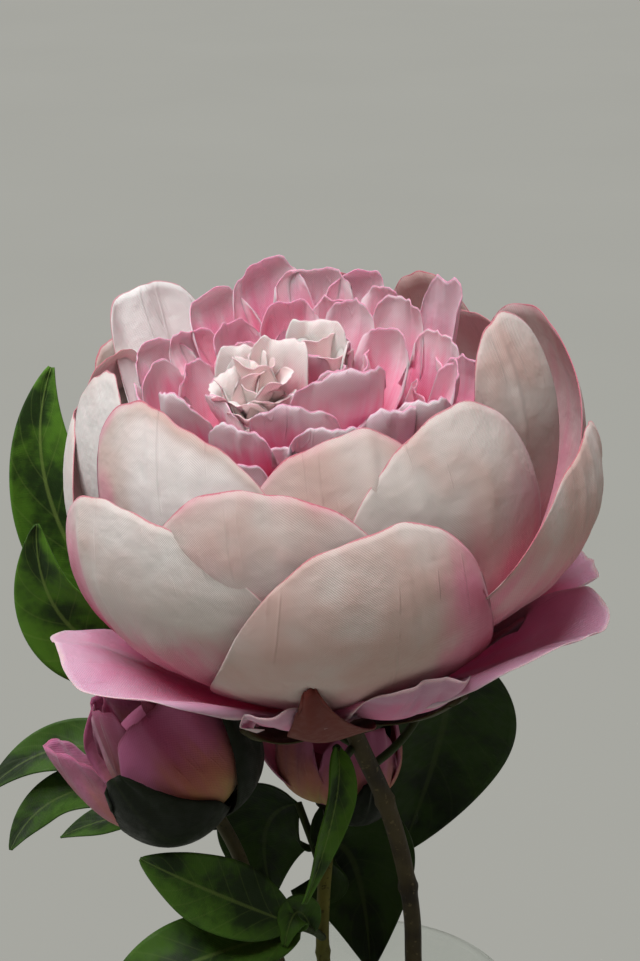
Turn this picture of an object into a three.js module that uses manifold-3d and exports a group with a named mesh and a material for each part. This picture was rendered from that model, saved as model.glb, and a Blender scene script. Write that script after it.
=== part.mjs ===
// Peony in a bud vase: one open bloom, two buds and their leaves, on three stems in a clear glass vase.
// Millimetres, +Z up. The origin is the middle of the vase's foot, and -Y is the side that the bloom faces.
import * as THREE from "three";
import { mergeVertices } from "three/addons/utils/BufferGeometryUtils.js";
import Module from "manifold-3d";

const wasm = await Module();
wasm.setup();

// Driving dimensions of the vase
const VASE_HEIGHT = 180;
const RIM_RADIUS = 37.5;
const NECK_RADIUS = 20.5;
const BODY_RADIUS = 35;
const FOOT_RADIUS = 28;
const NECK_HEIGHT = 125;
const BODY_HEIGHT = 42;
const WALL = 2.6;
const BASE_THICKNESS = 10;
const FOOT_EDGE = 2; // rounding of the foot's outer edge
const FLOOR_EDGE = 6; // rounding where the inner wall meets the floor
const FLARE = 2.4; // power of the curve from the neck to the rim
const VASE_SIDES = 28;

// Driving dimensions of the flower
const GAP = 0.3; // clearance between pieces that touch
const PETAL = 0.8; // thickness of a petal
const BLADE = 0.7; // thickness of a leaf or a sepal
const STALK_RADIUS = 1.1;
const STEM_LIFT = 0.5; // height of the middle of a stem's slanted end above the vase's floor
const BLOOM_STEM_RADIUS = 2.3;
const SIDE_STEM_RADIUS = 1.8;
const BLOOM_SEAT = [-7.5, 0, 262]; // where the bloom's stem ends
const BLOOM_TILT = -7; // degrees about +Y: the head leans to the left
const SEAT_DEPTH = 62; // the bloom's widest ring stands this far above its seat
const RUFFLE_LEAN = [11, 5, 0]; // degrees: the ruffle leans towards the viewer and to the right
const SEPAL_ROOM = 0.8; // how much larger than a sepal its room in the guard petals is

const UP = new THREE.Vector3(0, 0, 1);
const radians = THREE.MathUtils.degToRad;
const vector = (a) => new THREE.Vector3(...a);

// Seeded draw, so that every build grows the same flower.
function seeded(seed) {
  let state = seed >>> 0;
  return (low, high) => {
    state = (Math.imul(state, 1664525) + 1013904223) >>> 0;
    return low + ((high - low) * state) / 2 ** 32;
  };
}

// A closed geometry as a solid.
function solid(geometry) {
  const bare = geometry.clone();
  bare.deleteAttribute("normal");
  bare.deleteAttribute("uv");
  const merged = mergeVertices(bare, 1e-4);
  return new wasm.Manifold(
    new wasm.Mesh({
      numProp: 3,
      vertProperties: merged.attributes.position.array,
      triVerts: new Uint32Array(merged.index.array),
    }),
  );
}

const fuse = (solids) => solids.reduce((a, b) => a.add(b));

// The largest body of a solid, so that a loose scrap is dropped and a sealed hollow is filled.
function largest(made) {
  return made.decompose().reduce((a, b) => (b.volume() > a.volume() ? b : a));
}

// A solid as a named three.js mesh.
function meshOf(name, made, material) {
  const found = largest(made).getMesh();
  const places = new Float32Array(found.numVert * 3);
  for (let i = 0; i < found.numVert; i++) {
    places.set(found.vertProperties.subarray(i * found.numProp, i * found.numProp + 3), i * 3);
  }
  const geometry = new THREE.BufferGeometry();
  geometry.setAttribute("position", new THREE.BufferAttribute(places, 3));
  geometry.setIndex(new THREE.BufferAttribute(new Uint32Array(found.triVerts), 1));
  geometry.computeVertexNormals();
  const mesh = new THREE.Mesh(geometry, material);
  mesh.name = name;
  return mesh;
}

// A thin closed blade on a surface point(u, v): u runs from 0 at the root to 1 at the tip, and v from -1 to 1
// across. Both faces are split along the same diagonals.
function blade(point, rows, columns, thickness) {
  const across = columns + 1;
  const count = (rows + 1) * across;
  const places = new Float32Array(count * 6);
  const step = 1e-3;
  for (let i = 0; i <= rows; i++) {
    for (let j = 0; j <= columns; j++) {
      const u = i / rows;
      const v = (2 * j) / columns - 1;
      const here = point(u, v);
      const along = point(Math.min(1, u + step), v).sub(point(Math.max(0, u - step), v));
      const aside = point(u, Math.min(1, v + step)).sub(point(u, Math.max(-1, v - step)));
      const normal = aside.cross(along).normalize().multiplyScalar(thickness / 2);
      const k = (i * across + j) * 3;
      places.set(here.clone().add(normal).toArray(), k);
      places.set(here.clone().sub(normal).toArray(), count * 3 + k);
    }
  }
  const faces = [];
  const quad = (a, b, c, d) => faces.push(a, b, c, a, c, d);
  const at = (i, j) => i * across + j;
  for (let i = 0; i < rows; i++) {
    for (let j = 0; j < columns; j++) {
      quad(at(i, j), at(i, j + 1), at(i + 1, j + 1), at(i + 1, j));
      faces.push(count + at(i, j), count + at(i + 1, j + 1), count + at(i, j + 1));
      faces.push(count + at(i, j), count + at(i + 1, j), count + at(i + 1, j + 1));
    }
  }
  const rim = [];
  for (let j = 0; j < columns; j++) rim.push(at(0, j));
  for (let i = 0; i < rows; i++) rim.push(at(i, columns));
  for (let j = columns; j > 0; j--) rim.push(at(rows, j));
  for (let i = rows; i > 0; i--) rim.push(at(i, 0));
  rim.forEach((a, k) => {
    const b = rim[(k + 1) % rim.length];
    quad(b, a, count + a, count + b);
  });
  const geometry = new THREE.BufferGeometry();
  geometry.setAttribute("position", new THREE.BufferAttribute(places, 3));
  geometry.setIndex(faces);
  return solid(geometry);
}

// A round tube along a smooth curve through points.
function tube(points, radius, steps, sides) {
  const ring = new THREE.Shape();
  ring.moveTo(radius, 0);
  for (let i = 1; i < sides; i++) {
    const angle = (2 * Math.PI * i) / sides;
    ring.lineTo(radius * Math.cos(angle), radius * Math.sin(angle));
  }
  const path = new THREE.CatmullRomCurve3(points.map(vector), false, "centripetal");
  return solid(new THREE.ExtrudeGeometry(ring, { steps, extrudePath: path, curveSegments: 1 }));
}

// A solid of revolution from a profile of [radius, height] that starts and ends on the axis.
function turned(profile, sides) {
  const points = profile.map(([r, z]) => new THREE.Vector2(r, z));
  const made = new THREE.LatheGeometry(points, sides);
  made.rotateX(Math.PI / 2);
  return solid(made);
}

// Points on an arc, as [radius, height], from one angle in degrees to another.
function arc(centre, radius, from, to, steps) {
  return Array.from({ length: steps + 1 }, (_, i) => {
    const angle = radians(from + ((to - from) * i) / steps);
    return [centre[0] + radius * Math.cos(angle), centre[1] + radius * Math.sin(angle)];
  });
}

const bezier = (a, b, c, d, t) => {
  const s = 1 - t;
  return s * s * s * a + 3 * s * s * t * b + 3 * s * t * t * c + t * t * t * d;
};
const bezierSlope = (a, b, c, d, t) => {
  const s = 1 - t;
  return 3 * s * s * (b - a) + 6 * s * t * (c - b) + 3 * t * t * (d - c);
};

// A petal's surface. Its middle line is a Bezier curve of [outward, upward] points that starts at root and
// stands at turn degrees round the axis (0 faces the viewer, 90 is to the right). The petal curves across
// with radius bend, towards the axis. It is widest at peak, narrow is the share of that width at its root,
// and taper the share that is lost at its tip. round is how far its corners fall back from the tip, and lean
// how many degrees it turns round the axis on its way up.
function petal({
  turn,
  line,
  width,
  bend,
  round = 0.16,
  narrow = 0.24,
  peak = 0.62,
  taper = 0.14,
  lean = 0,
  longer = 0,
  root = [0, 0, 0],
}) {
  const [a, b, c, d] = line;
  return (u, v) => {
    const reach = u * (1 + longer - round * Math.abs(v) ** 3);
    const rise = Math.sin((Math.min(u / peak, 1) * Math.PI) / 2);
    const fall = u > peak ? taper * ((u - peak) / (1 - peak)) ** 2 : 0;
    const aside = (v * width * (narrow + (1 - narrow) * rise - fall)) / 2;
    const out = bezier(a[0], b[0], c[0], d[0], reach);
    const up = bezier(a[1], b[1], c[1], d[1], reach);
    const dOut = bezierSlope(a[0], b[0], c[0], d[0], reach);
    const dUp = bezierSlope(a[1], b[1], c[1], d[1], reach);
    const size = Math.hypot(dOut, dUp);
    const depth = bend * (1 - Math.cos(aside / bend));
    const forward = out - (depth * dUp) / size;
    const side = bend * Math.sin(aside / bend);
    const height = up + (depth * dOut) / size;
    const angle = radians(turn + lean * reach);
    return new THREE.Vector3(
      root[0] + forward * Math.sin(angle) + side * Math.cos(angle),
      root[1] - forward * Math.cos(angle) + side * Math.sin(angle),
      root[2] + height,
    );
  };
}

// Glass vase: a thick flat foot, a rounded body, a waisted neck and a flared rim.
function vaseRadius(z) {
  if (z < BODY_HEIGHT) {
    return BODY_RADIUS - (BODY_RADIUS - FOOT_RADIUS) * (1 - z / BODY_HEIGHT) ** 2;
  }
  if (z < NECK_HEIGHT) {
    const swing = 0.5 + 0.5 * Math.cos((Math.PI * (z - BODY_HEIGHT)) / (NECK_HEIGHT - BODY_HEIGHT));
    return NECK_RADIUS + (BODY_RADIUS - NECK_RADIUS) * swing;
  }
  const flared = ((z - NECK_HEIGHT) / (VASE_HEIGHT - NECK_HEIGHT)) ** FLARE;
  return NECK_RADIUS + (RIM_RADIUS - NECK_RADIUS) * flared;
}

function vase() {
  const levels = [42, 66, 88, 108, 128, 148, 164, 175];
  const bend = vaseRadius(BASE_THICKNESS + FLOOR_EDGE) - WALL - FLOOR_EDGE;
  const profile = [
    [0, 0],
    ...arc([FOOT_RADIUS - FOOT_EDGE, FOOT_EDGE], FOOT_EDGE, -90, 0, 2),
    [vaseRadius(BASE_THICKNESS), BASE_THICKNESS],
    ...levels.map((z) => [vaseRadius(z), z]),
    ...arc([RIM_RADIUS - WALL / 2, VASE_HEIGHT - WALL / 2], WALL / 2, 0, 180, 4),
    ...levels.toReversed().map((z) => [vaseRadius(z) - WALL, z]),
    ...arc([bend, BASE_THICKNESS + FLOOR_EDGE], FLOOR_EDGE, 0, -90, 2),
    [0, BASE_THICKNESS],
  ];
  return turned(profile, VASE_SIDES);
}

// Stems, each from its foot on the vase's floor, through the neck, to its head.
const FLOOR = BASE_THICKNESS + STEM_LIFT;
const BLOOM_STEM = [
  [-9, -4, FLOOR],
  [-8, -3.5, 24],
  [2, 3, 80],
  [11.5, 9.6, 128],
  [12, 12, 165],
  [11, 12, 183],
  [10.4, 11, 197],
  [7.6, 9, 215.4],
  [2.6, 6, 234.7],
  [-3.6, 2, 251.5],
  [-7.3, 0.2, 261.4],
];
const BUD_STEM = [
  [11, -9, FLOOR],
  [10.4, -8.8, 24],
  [-4, -5, 80],
  [-14.4, -1.5, 126],
  [-18.2, 0, 155],
  [-24, 1.6, 186],
  [-30.9, 4, 206.5],
  [-35.6, 6, 220],
  [-40.7, 6, 231],
];
const REAR_STEM = [
  [5, 11, FLOOR],
  [4.6, 11.2, 24],
  [-1, 12.5, 80],
  [-6.4, 14.2, 128],
  [-11, 13, 165],
  [-13.3, 12, 188],
  [-12.6, 20, 205],
  [-10.5, 29.5, 218],
];
const STEMS = {
  bloom: { points: BLOOM_STEM, radius: BLOOM_STEM_RADIUS, steps: 16 },
  bud: { points: BUD_STEM, radius: SIDE_STEM_RADIUS, steps: 14 },
  rear: { points: REAR_STEM, radius: SIDE_STEM_RADIUS, steps: 14 },
};

function stemOf(name, grow = 0) {
  const { points, radius, steps } = STEMS[name];
  return tube(points, radius + grow, steps, 8);
}

// Leaf: a folded, slightly waved blade from its root, by way of a point on its midrib, to its tip. Its upper
// side looks towards face.
function leaf({ from, via, to, width, face, fold = 0.3, wave = 0.4 }) {
  const ends = vector(from).add(vector(to)).multiplyScalar(0.5);
  const control = vector(via).multiplyScalar(2).sub(ends);
  const line = new THREE.QuadraticBezierCurve3(vector(from), control, vector(to));
  const facing = vector(face).normalize();
  const midribHalf = 0.5;
  const surface = (u, v) => {
    const here = line.getPoint(u);
    const along = line.getTangent(u);
    const side = along.clone().cross(facing).normalize();
    const normal = side.clone().cross(along).normalize();
    const half = midribHalf + (width / 2) * Math.sin(Math.PI * u ** 0.8) ** 0.85;
    const lift = fold * half * Math.abs(v) ** 1.3 + wave * Math.sin(9 * u + 2 * v) * Math.abs(v);
    return here.addScaledVector(side, v * half).addScaledVector(normal, lift);
  };
  return blade(surface, 4, 3, BLADE);
}

// Leaf sprays: a stalk that clasps its stem, and its leaflets.
const SPRAYS = [
  {
    name: "bloom_stem_leaves_left",
    stem: "bloom",
    stalk: [[-2.6, 3, 250], [-12, 9, 254], [-26, 21, 259], [-42, 28, 262], [-56, 28, 263]],
    leaflets: [
      { from: [-56, 28, 263], via: [-80.5, 22, 307], to: [-80.5, 27, 344], width: 20, face: [0.2, -1, 0.1] },
      { from: [-56, 28, 263], via: [-78, 16, 280], to: [-83.5, 10, 309], width: 21, face: [-0.1, -1, 0.3] },
      { from: [-42, 28, 262], via: [-62, 30, 269], to: [-84, 20, 273], width: 12, face: [0, -0.5, 1] },
    ],
  },
  {
    name: "bloom_stem_leaves_right",
    stem: "bloom",
    stalk: [[-1.6, 3.6, 245], [7, 12, 249], [16, 24, 258], [20, 30, 265]],
    leaflets: [
      { from: [20, 30, 265], via: [22, 46, 232], to: [10, 51, 193], width: 30, face: [0.1, -1, 0.15] },
    ],
  },
  {
    name: "bloom_stem_leaf_front",
    stem: "bloom",
    stalk: [[-6, 1.4, 252], [-8, -5, 253], [-10, -8, 257]],
    leaflets: [
      {
        from: [-10, -8, 257],
        via: [-10.8, -14, 243],
        to: [-18, -16, 218],
        width: 8,
        face: [0.7, -1, 0],
        fold: 0.5,
      },
    ],
  },
  {
    name: "bud_stem_leaves",
    stem: "bud",
    stalk: [[-36.3, 6, 221], [-40, 16, 221], [-50, 32, 222]],
    leaflets: [
      { from: [-50, 32, 222], via: [-80, 46, 229], to: [-106, 40, 218], width: 15, face: [0.1, -0.7, 1] },
      { from: [-50, 32, 222], via: [-82, 42, 217], to: [-99, 35, 203], width: 14, face: [-0.1, -0.6, 1] },
      { from: [-40, 16, 221], via: [-62, 26, 219], to: [-84, 28, 211], width: 12, face: [0, -0.4, 1] },
    ],
  },
  {
    name: "rear_stem_leaves_low",
    stem: "rear",
    stalk: [[-13.2, 12, 190], [-16, 3, 198], [-21, -5, 205]],
    leaflets: [
      { from: [-21, -5, 205], via: [-41, -11, 218], to: [-59, -10, 227], width: 18, face: [-0.3, -1, 0.9] },
      { from: [-19, -2, 201], via: [-48, -15, 199], to: [-70, -20, 188], width: 22, face: [-0.1, -0.5, 1] },
      { from: [-16, 3, 198], via: [-20, -4, 208], to: [-23, -9, 201], width: 9, face: [0, -1, 0.3] },
    ],
  },
  {
    name: "rear_stem_leaves_high",
    stem: "rear",
    stalk: [[-12.8, 17, 202], [-15, 28, 206], [-20, 38, 216]],
    leaflets: [
      { from: [-20, 38, 216], via: [-29, 41, 206], to: [-27, 37, 187], width: 17, face: [0, -1, 0.2] },
      { from: [-15, 28, 206], via: [-5, 35, 200], to: [0, 24, 172], width: 27, face: [-0.1, -1, 0.3] },
    ],
  },
];

function spray({ stem, stalk, leaflets }) {
  const grown = fuse([tube(stalk, STALK_RADIUS, 5, 6), ...leaflets.map(leaf)]);
  return grown.subtract(stemOf(stem, GAP));
}

// The bloom is made in its own frame: the origin is the middle of its widest ring, and the stem ends
// SEAT_DEPTH below. Every tip and belly, which is the Bezier point before it, is [outward, upward].

// Cup petals, the large outer ones, on one solid core. Layer 0 lies outermost.
const CUP_ROOT = [8, -51];
const CUP_HIP = [32, -47];
const LAYER_INSET = 1.5;
const LAYER_LIFT = 0.6;
const CUP_BEND = 58;
const CUP = [
  { turn: 9, tip: [60, 10], belly: [75, -30], width: 58, layer: 0 },
  { turn: -44, tip: [60, 17], belly: [73, -28], width: 64, layer: 0, lean: -2 },
  { turn: 66, tip: [67, 12], belly: [76, -22], width: 56, layer: 0, lean: 8 },
  { turn: -15, tip: [55, 21], belly: [75, -20], width: 54, layer: 1 },
  { turn: 34, tip: [50, 27], belly: [76, -14], width: 52, layer: 2, lean: 10 },
  { turn: -36, tip: [49, 38], belly: [74, -12], width: 44, layer: 3, lean: 4 },
  { turn: 10, tip: [50, 27], belly: [74, -14], width: 40, layer: 3, lean: 3 },
  { turn: -62, tip: [51, 34], belly: [73, -10], width: 36, layer: 3, lean: -4 },
  { turn: 70, tip: [50, 40], belly: [72, 0], width: 32, layer: 4 },
  { turn: 102, tip: [60, 29], belly: [77, -14], width: 60, layer: 1 },
  { turn: 143, tip: [50, 35], belly: [76, -16], width: 58, layer: 0 },
  { turn: -176, tip: [49, 38], belly: [77, -14], width: 58, layer: 2 },
  { turn: -134, tip: [49, 41], belly: [76, -16], width: 56, layer: 0 },
  { turn: -98, tip: [53, 33], belly: [75, -14], width: 52, layer: 1 },
  { turn: 126, tip: [45, 39], belly: [72, 0], width: 38, layer: 4 },
  { turn: 172, tip: [45, 42], belly: [72, 0], width: 40, layer: 4 },
  { turn: -122, tip: [46, 37], belly: [72, -2], width: 38, layer: 4 },
];
const CUP_CORE = [[0, -54], [9, -53], [22, -46], [34, -39.5], [44, -33], [50, -26], [50, -16], [0, -14]];

function cupPetals() {
  return CUP.map(({ turn, tip, belly, width, layer, lean }) => {
    const hip = [CUP_HIP[0] - LAYER_INSET * layer, CUP_HIP[1] + LAYER_LIFT * layer];
    const surface = petal({ turn, line: [CUP_ROOT, hip, belly, tip], width, bend: CUP_BEND, lean });
    return blade(surface, 4, layer < 3 ? 4 : 3, PETAL);
  });
}

// Guard petals, the lowest ring, which bends out and down from under the cup, on one hub. drop lowers a petal
// that passes under its neighbours.
const GUARD_ROOT = [7, -56.4];
const GUARD_HIP = [24, -52];
const GUARD_REACH = 0.7;
const GUARD_SAG = 8;
const GUARD_BEND = 70;
const GUARDS = [
  { turn: 50, tip: [67, -30], width: 50, lean: 12, drop: 1.4 },
  { turn: -53, tip: [68, -25], width: 56, lean: -16, drop: 1.4 },
  { turn: 17, tip: [53, -34], width: 24, lean: 0, drop: 0 },
  { turn: -22, tip: [51, -36], width: 16, lean: 0, drop: 0 },
  { turn: 108, tip: [66, -32], width: 48, lean: 0, drop: 0 },
  { turn: 160, tip: [64, -34], width: 48, lean: 0, drop: 1.4 },
  { turn: -147, tip: [65, -34], width: 48, lean: 0, drop: 0 },
  { turn: -102, tip: [56, -38], width: 36, lean: 0, drop: 2.8 },
];
const GUARD_HUB = [[0, -60.2], [6, -59.6], [16, -57], [22, -54.2], [22, -50.6], [9, -53.7], [0, -53.7]];

function guardPetals() {
  return GUARDS.map(({ turn, tip, width, lean, drop }) => {
    const hip = [GUARD_HIP[0], GUARD_HIP[1] - drop];
    const belly = [tip[0] * GUARD_REACH, tip[1] - GUARD_SAG - drop];
    const line = [GUARD_ROOT, hip, belly, tip];
    const shape = { turn, line, lean, width, bend: GUARD_BEND, round: 0.2, narrow: 0.18 };
    return blade(petal(shape), 3, 4, PETAL);
  });
}

// Calyx: pointed sepals under the guard petals, on one hub. grow makes the room that they need.
const SEPAL_ROOT = [3, -61];
const SEPAL_HIP = [16, -59.6];
const SEPAL_REACH = 0.84;
const SEPAL_SAG = 8;
const SEPAL_BEND = 30;
const SEPALS = [
  { turn: -3, tip: [52.5, -33.8], width: 16 },
  { turn: 46, tip: [44, -47], width: 15 },
  { turn: 98, tip: [38, -51], width: 16 },
  { turn: 150, tip: [38, -51], width: 16 },
  { turn: -158, tip: [38, -51], width: 16 },
  { turn: -100, tip: [32, -52], width: 15 },
  { turn: -48, tip: [32, -52], width: 14 },
];
const SEPAL_HUB = [[0, -61.7], [3.2, -61.7], [9, -62.2], [14, -60.9], [14.5, -59], [9, -60], [0, -60.4]];

function sepals(grow = 0) {
  return SEPALS.map(({ turn, tip, width }) => {
    const shape = {
      turn,
      line: [SEPAL_ROOT, SEPAL_HIP, [tip[0] * SEPAL_REACH, tip[1] - SEPAL_SAG], tip],
      width: width + 2 * grow,
      bend: SEPAL_BEND,
      round: 0.1,
      narrow: 0.5,
      peak: 0.5,
      taper: 0.8,
      longer: 0.02 * grow,
    };
    return blade(petal(shape), 3, 2, BLADE + grow);
  });
}

// Surfaces of revolution that keep the bloom's pieces apart, as [radius, height].
const UNDER_CUP = [
  [9, -53.2],
  [24, -47.8],
  [34, -43.2],
  [45, -37],
  [54, -30.6],
  [61, -22.4],
  [66, -12],
  [70, 0],
  [74, 14],
];
const INSIDE_CUP = [
  [20, -30],
  [34, -16],
  [42, 0],
  [43.5, 16],
  [41.5, 30],
  [41.5, 70],
];
const REGION_SIDES = 24;

// All that lies outside and under the cup.
function underCup(drop) {
  const far = 100;
  const bottom = -70;
  const edge = UNDER_CUP.map(([r, z]) => [r + drop, z - drop]);
  const top = edge.at(-1)[1];
  const profile = [[0, bottom], [far, bottom], [far, top], ...edge.toReversed(), [0, edge[0][1]]];
  return turned(profile, REGION_SIDES);
}

// All that lies inside the cup.
function insideCup(shrink) {
  const edge = INSIDE_CUP.map(([r, z]) => [r - shrink, z + shrink]);
  return turned([[0, edge[0][1]], ...edge, [0, edge.at(-1)[1]]], REGION_SIDES);
}

// Ruffle: rings of small upright petals on a solid core. It leans as a whole.
const RUFFLE_RINGS = [
  { count: 11, radius: 35, tip: 35, tall: 31, width: 22, open: 4 },
  { count: 8, radius: 26, tip: 38, tall: 30, width: 20, open: 3 },
  { count: 5, radius: 16, tip: 38, tall: 28, width: 18, open: 1 },
];
const RUFFLE_CORE = [[0, -40], [42, -40], [44, 0], [36, 10], [22, 15], [0, 17]];
const UPRIGHT = { narrow: 0.45, round: 0.18 };

function rufflePetals() {
  const draw = seeded(21);
  const made = [];
  for (const { count, radius, tip, tall, width, open } of RUFFLE_RINGS) {
    for (let i = 0; i < count; i++) {
      const place = (360 * i) / count + draw(-8, 8);
      const angle = radians(place);
      const top = tip + draw(-3, 3);
      const out = open + draw(-4, 4);
      const shape = {
        ...UPRIGHT,
        turn: place + draw(-30, 30),
        line: [[0, 0], [out * 0.5, tall * 0.35], [out * 1.6, tall * 0.8], [out * 0.6, tall]],
        width: width * draw(0.85, 1.2),
        bend: draw(9, 16),
        root: [radius * Math.sin(angle), -radius * Math.cos(angle), top - tall],
      };
      made.push(blade(petal(shape), 3, 2, PETAL));
    }
  }
  return made;
}

// Heart: two tufts of small cream petals, left of the middle, on a base that sits in a well in the ruffle.
const TUFTS = [
  { place: [-12, -4], radius: 6.5, count: 6 },
  { place: [4, 2], radius: 2.5, count: 3 },
];
const TUFT_HEIGHT = 22;
const TUFT_STEP = 137.5; // degrees from one petal of a tuft to the next
const HEART_FLOOR = 16;
const HEART_BASE = 5;
const WELL = { place: [-5.9, -1.7], turn: 20.6, long: 17, wide: 10.5, flare: 4, waist: 34, top: 60 };

function heartPetals() {
  const draw = seeded(5);
  const made = [];
  for (const { place, radius, count } of TUFTS) {
    for (let i = 0; i < count; i++) {
      const turn = i * TUFT_STEP;
      const angle = radians(turn);
      const away = radius * Math.sqrt((i + 0.5) / count);
      const top = TUFT_HEIGHT + draw(-2, 3);
      const shape = {
        ...UPRIGHT,
        turn: turn + draw(-20, 20),
        line: [[0, 0], [1, top * 0.4], [4, top * 0.8], [2 + draw(-2, 3), top]],
        width: 11 + draw(-1, 3),
        bend: draw(5, 8),
        root: [place[0] + away * Math.sin(angle), place[1] - away * Math.cos(angle), HEART_FLOOR + 1],
      };
      made.push(blade(petal(shape), 3, 2, PETAL));
    }
  }
  return made;
}

function heartWell(shrink, top = WELL.top) {
  const wide = WELL.wide - shrink;
  const floor = HEART_FLOOR + shrink;
  const waist = Math.min(WELL.waist, top);
  const profile = [[0, floor], [wide * 0.8, floor], [wide, waist]];
  if (top > waist) profile.push([wide + WELL.flare, top]);
  return turned([...profile, [0, top]], 16)
    .scale([(WELL.long - shrink) / wide, 1, 1])
    .rotate([0, 0, WELL.turn])
    .translate([...WELL.place, 0]);
}

// Buds, each in its own frame: +Z is its axis and the origin is where its stem ends.
const BUD_OUTER = [
  { turn: 24, tip: [13, 36], width: 36 },
  { turn: 116, tip: [12, 39], width: 36 },
  { turn: 207, tip: [12, 38], width: 36 },
  { turn: 292, tip: [16, 40], width: 36 },
];
const BUD_INNER = [
  { turn: 70, tip: [7, 40], width: 26 },
  { turn: 190, tip: [6, 41], width: 26 },
  { turn: 310, tip: [8, 41], width: 26 },
];
const FLUNG = { turn: -92, line: [[2, 3], [16, 5], [24, 12], [27, 32]], width: 22, bend: 18 };
const BUD_CORE = [[0, 2], [4, 2.4], [12, 6], [16, 14], [14, 24], [9, 31], [0, 34]];
const BUD_HUB = [[0, GAP], [2.6, GAP], [5, 1], [4, 2.2], [0, 2.3]];
const BUD_HUB_ROOM = [[0, -1], [5.6, -1], [5.6, 1.3], [4.6, 2.6], [0, 2.7]];
const BUDS = [
  {
    name: "bud",
    seat: [-41, 6, 231.5],
    axis: [-20, 0, 31],
    scale: 1.04,
    flung: false,
    sepals: [
      { turn: -22, tip: [23.5, 25], width: 24 },
      { turn: 62, tip: [23.5, 30], width: 9 },
      { turn: 160, tip: [23, 24], width: 16 },
      { turn: 248, tip: [22.5, 17], width: 15 },
    ],
  },
  {
    name: "rear_bud",
    seat: [-10.4, 30, 219],
    axis: [5, 3, 40],
    scale: 0.78,
    flung: true,
    sepals: [
      { turn: 24, tip: [18.4, 16], width: 16 },
      { turn: 178, tip: [18.4, 19], width: 15 },
    ],
  },
];

// The rear bud is small and has opened on one side: it has no inner petals, and one outer petal is flung out.
function budPetals(scale, flung) {
  const outer = BUD_OUTER.map(({ turn, tip, width }) => {
    return { turn, line: [[2, 3.4], [24, 3.6], [26, 22], tip], width, bend: 17 };
  });
  const inner = BUD_INNER.map(({ turn, tip, width }) => {
    return { turn, line: [[1, 4.5], [18, 6], [19, 26], tip], width, bend: 13 };
  });
  const shapes = flung ? outer : [...outer, ...inner];
  const blades = shapes.map((shape) => blade(petal(shape), 3, 3, PETAL / scale));
  const closed = fuse([turned(BUD_CORE, 10), ...blades]).scale([scale, scale, scale]);
  const made = flung ? closed.add(blade(petal(FLUNG), 3, 3, PETAL)) : closed;
  return made.subtract(turned(BUD_HUB_ROOM, 12));
}

function budCalyx(list) {
  const blades = list.map(({ turn, tip, width }) => {
    const line = [[1.5, 0.6], [tip[0] * 0.8, -2.6], [tip[0] * 1.16, tip[1] * 0.36], tip];
    return blade(petal({ turn, line, width, bend: 18, narrow: 0.5, peak: 0.5, taper: 0.7 }), 3, 3, BLADE);
  });
  return fuse([turned(BUD_HUB, 12), ...blades]);
}

// Materials
const finish = (color, roughness) => new THREE.MeshStandardMaterial({ color, roughness, metalness: 0 });
const glass = finish(0xdfe6e2, 0.05);
glass.transparent = true;
glass.opacity = 0.35;
const brownStem = finish(0x5b5138, 0.7);
const greenStem = finish(0x7d7f4a, 0.7);
const leafGreen = finish(0x2f4a22, 0.65);
const sepalBrown = finish(0x6a4a3c, 0.75);
const sepalGreen = finish(0x2c3f20, 0.7);
const blush = finish(0xeed9d6, 0.85);
const pink = finish(0xe79fc0, 0.85);
const guardPink = finish(0xd99ab4, 0.85);
const cream = finish(0xf3e6dc, 0.85);
const budPink = finish(0xc77fb0, 0.85);

const part = new THREE.Group();
const add = (name, made, material) => part.add(meshOf(name, made, material));
add("vase", vase(), glass);
add("bloom_stem", stemOf("bloom"), brownStem);
add("bud_stem", stemOf("bud"), greenStem);
add("rear_bud_stem", stemOf("rear"), greenStem);
for (const item of SPRAYS) add(item.name, spray(item), leafGreen);

// The bloom's pieces, set on its stem.
const onBloomStem = (made) => {
  return made.translate([0, 0, SEAT_DEPTH]).rotate([0, BLOOM_TILT, 0]).translate(BLOOM_SEAT);
};
const leaning = (made) => made.rotate(RUFFLE_LEAN);

const cup = fuse([turned(CUP_CORE, REGION_SIDES), ...cupPetals()]);
add("bloom_cup_petals", onBloomStem(cup.subtract(insideCup(0)).subtract(underCup(0))), blush);

const ruffle = fuse([turned(RUFFLE_CORE, REGION_SIDES), ...rufflePetals()]).subtract(heartWell(0));
add("bloom_ruffle_petals", onBloomStem(leaning(ruffle).intersect(insideCup(GAP))), pink);

const heart = fuse([heartWell(GAP, HEART_FLOOR + HEART_BASE), ...heartPetals()]);
add("bloom_heart_petals", onBloomStem(leaning(heart.intersect(heartWell(GAP)))), cream);

add("bloom_calyx", onBloomStem(fuse([turned(SEPAL_HUB, 12), ...sepals()])), sepalBrown);

const guards = fuse([turned(GUARD_HUB, 16), ...guardPetals()]);
const guardsClear = guards.intersect(underCup(GAP)).subtract(fuse(sepals(SEPAL_ROOM)));
add("bloom_guard_petals", onBloomStem(guardsClear), guardPink);

// The buds, each set on its stem along its axis.
for (const bud of BUDS) {
  const turn = new THREE.Quaternion().setFromUnitVectors(UP, vector(bud.axis).normalize());
  const place = new THREE.Matrix4().makeRotationFromQuaternion(turn).setPosition(...bud.seat);
  add(`${bud.name}_calyx`, budCalyx(bud.sepals).transform(place.elements), sepalGreen);
  add(`${bud.name}_petals`, budPetals(bud.scale, bud.flung).transform(place.elements), budPink);
}

export default part;
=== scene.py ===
import math
import random

import bpy
import numpy as np
from mathutils import Matrix, Vector


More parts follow.
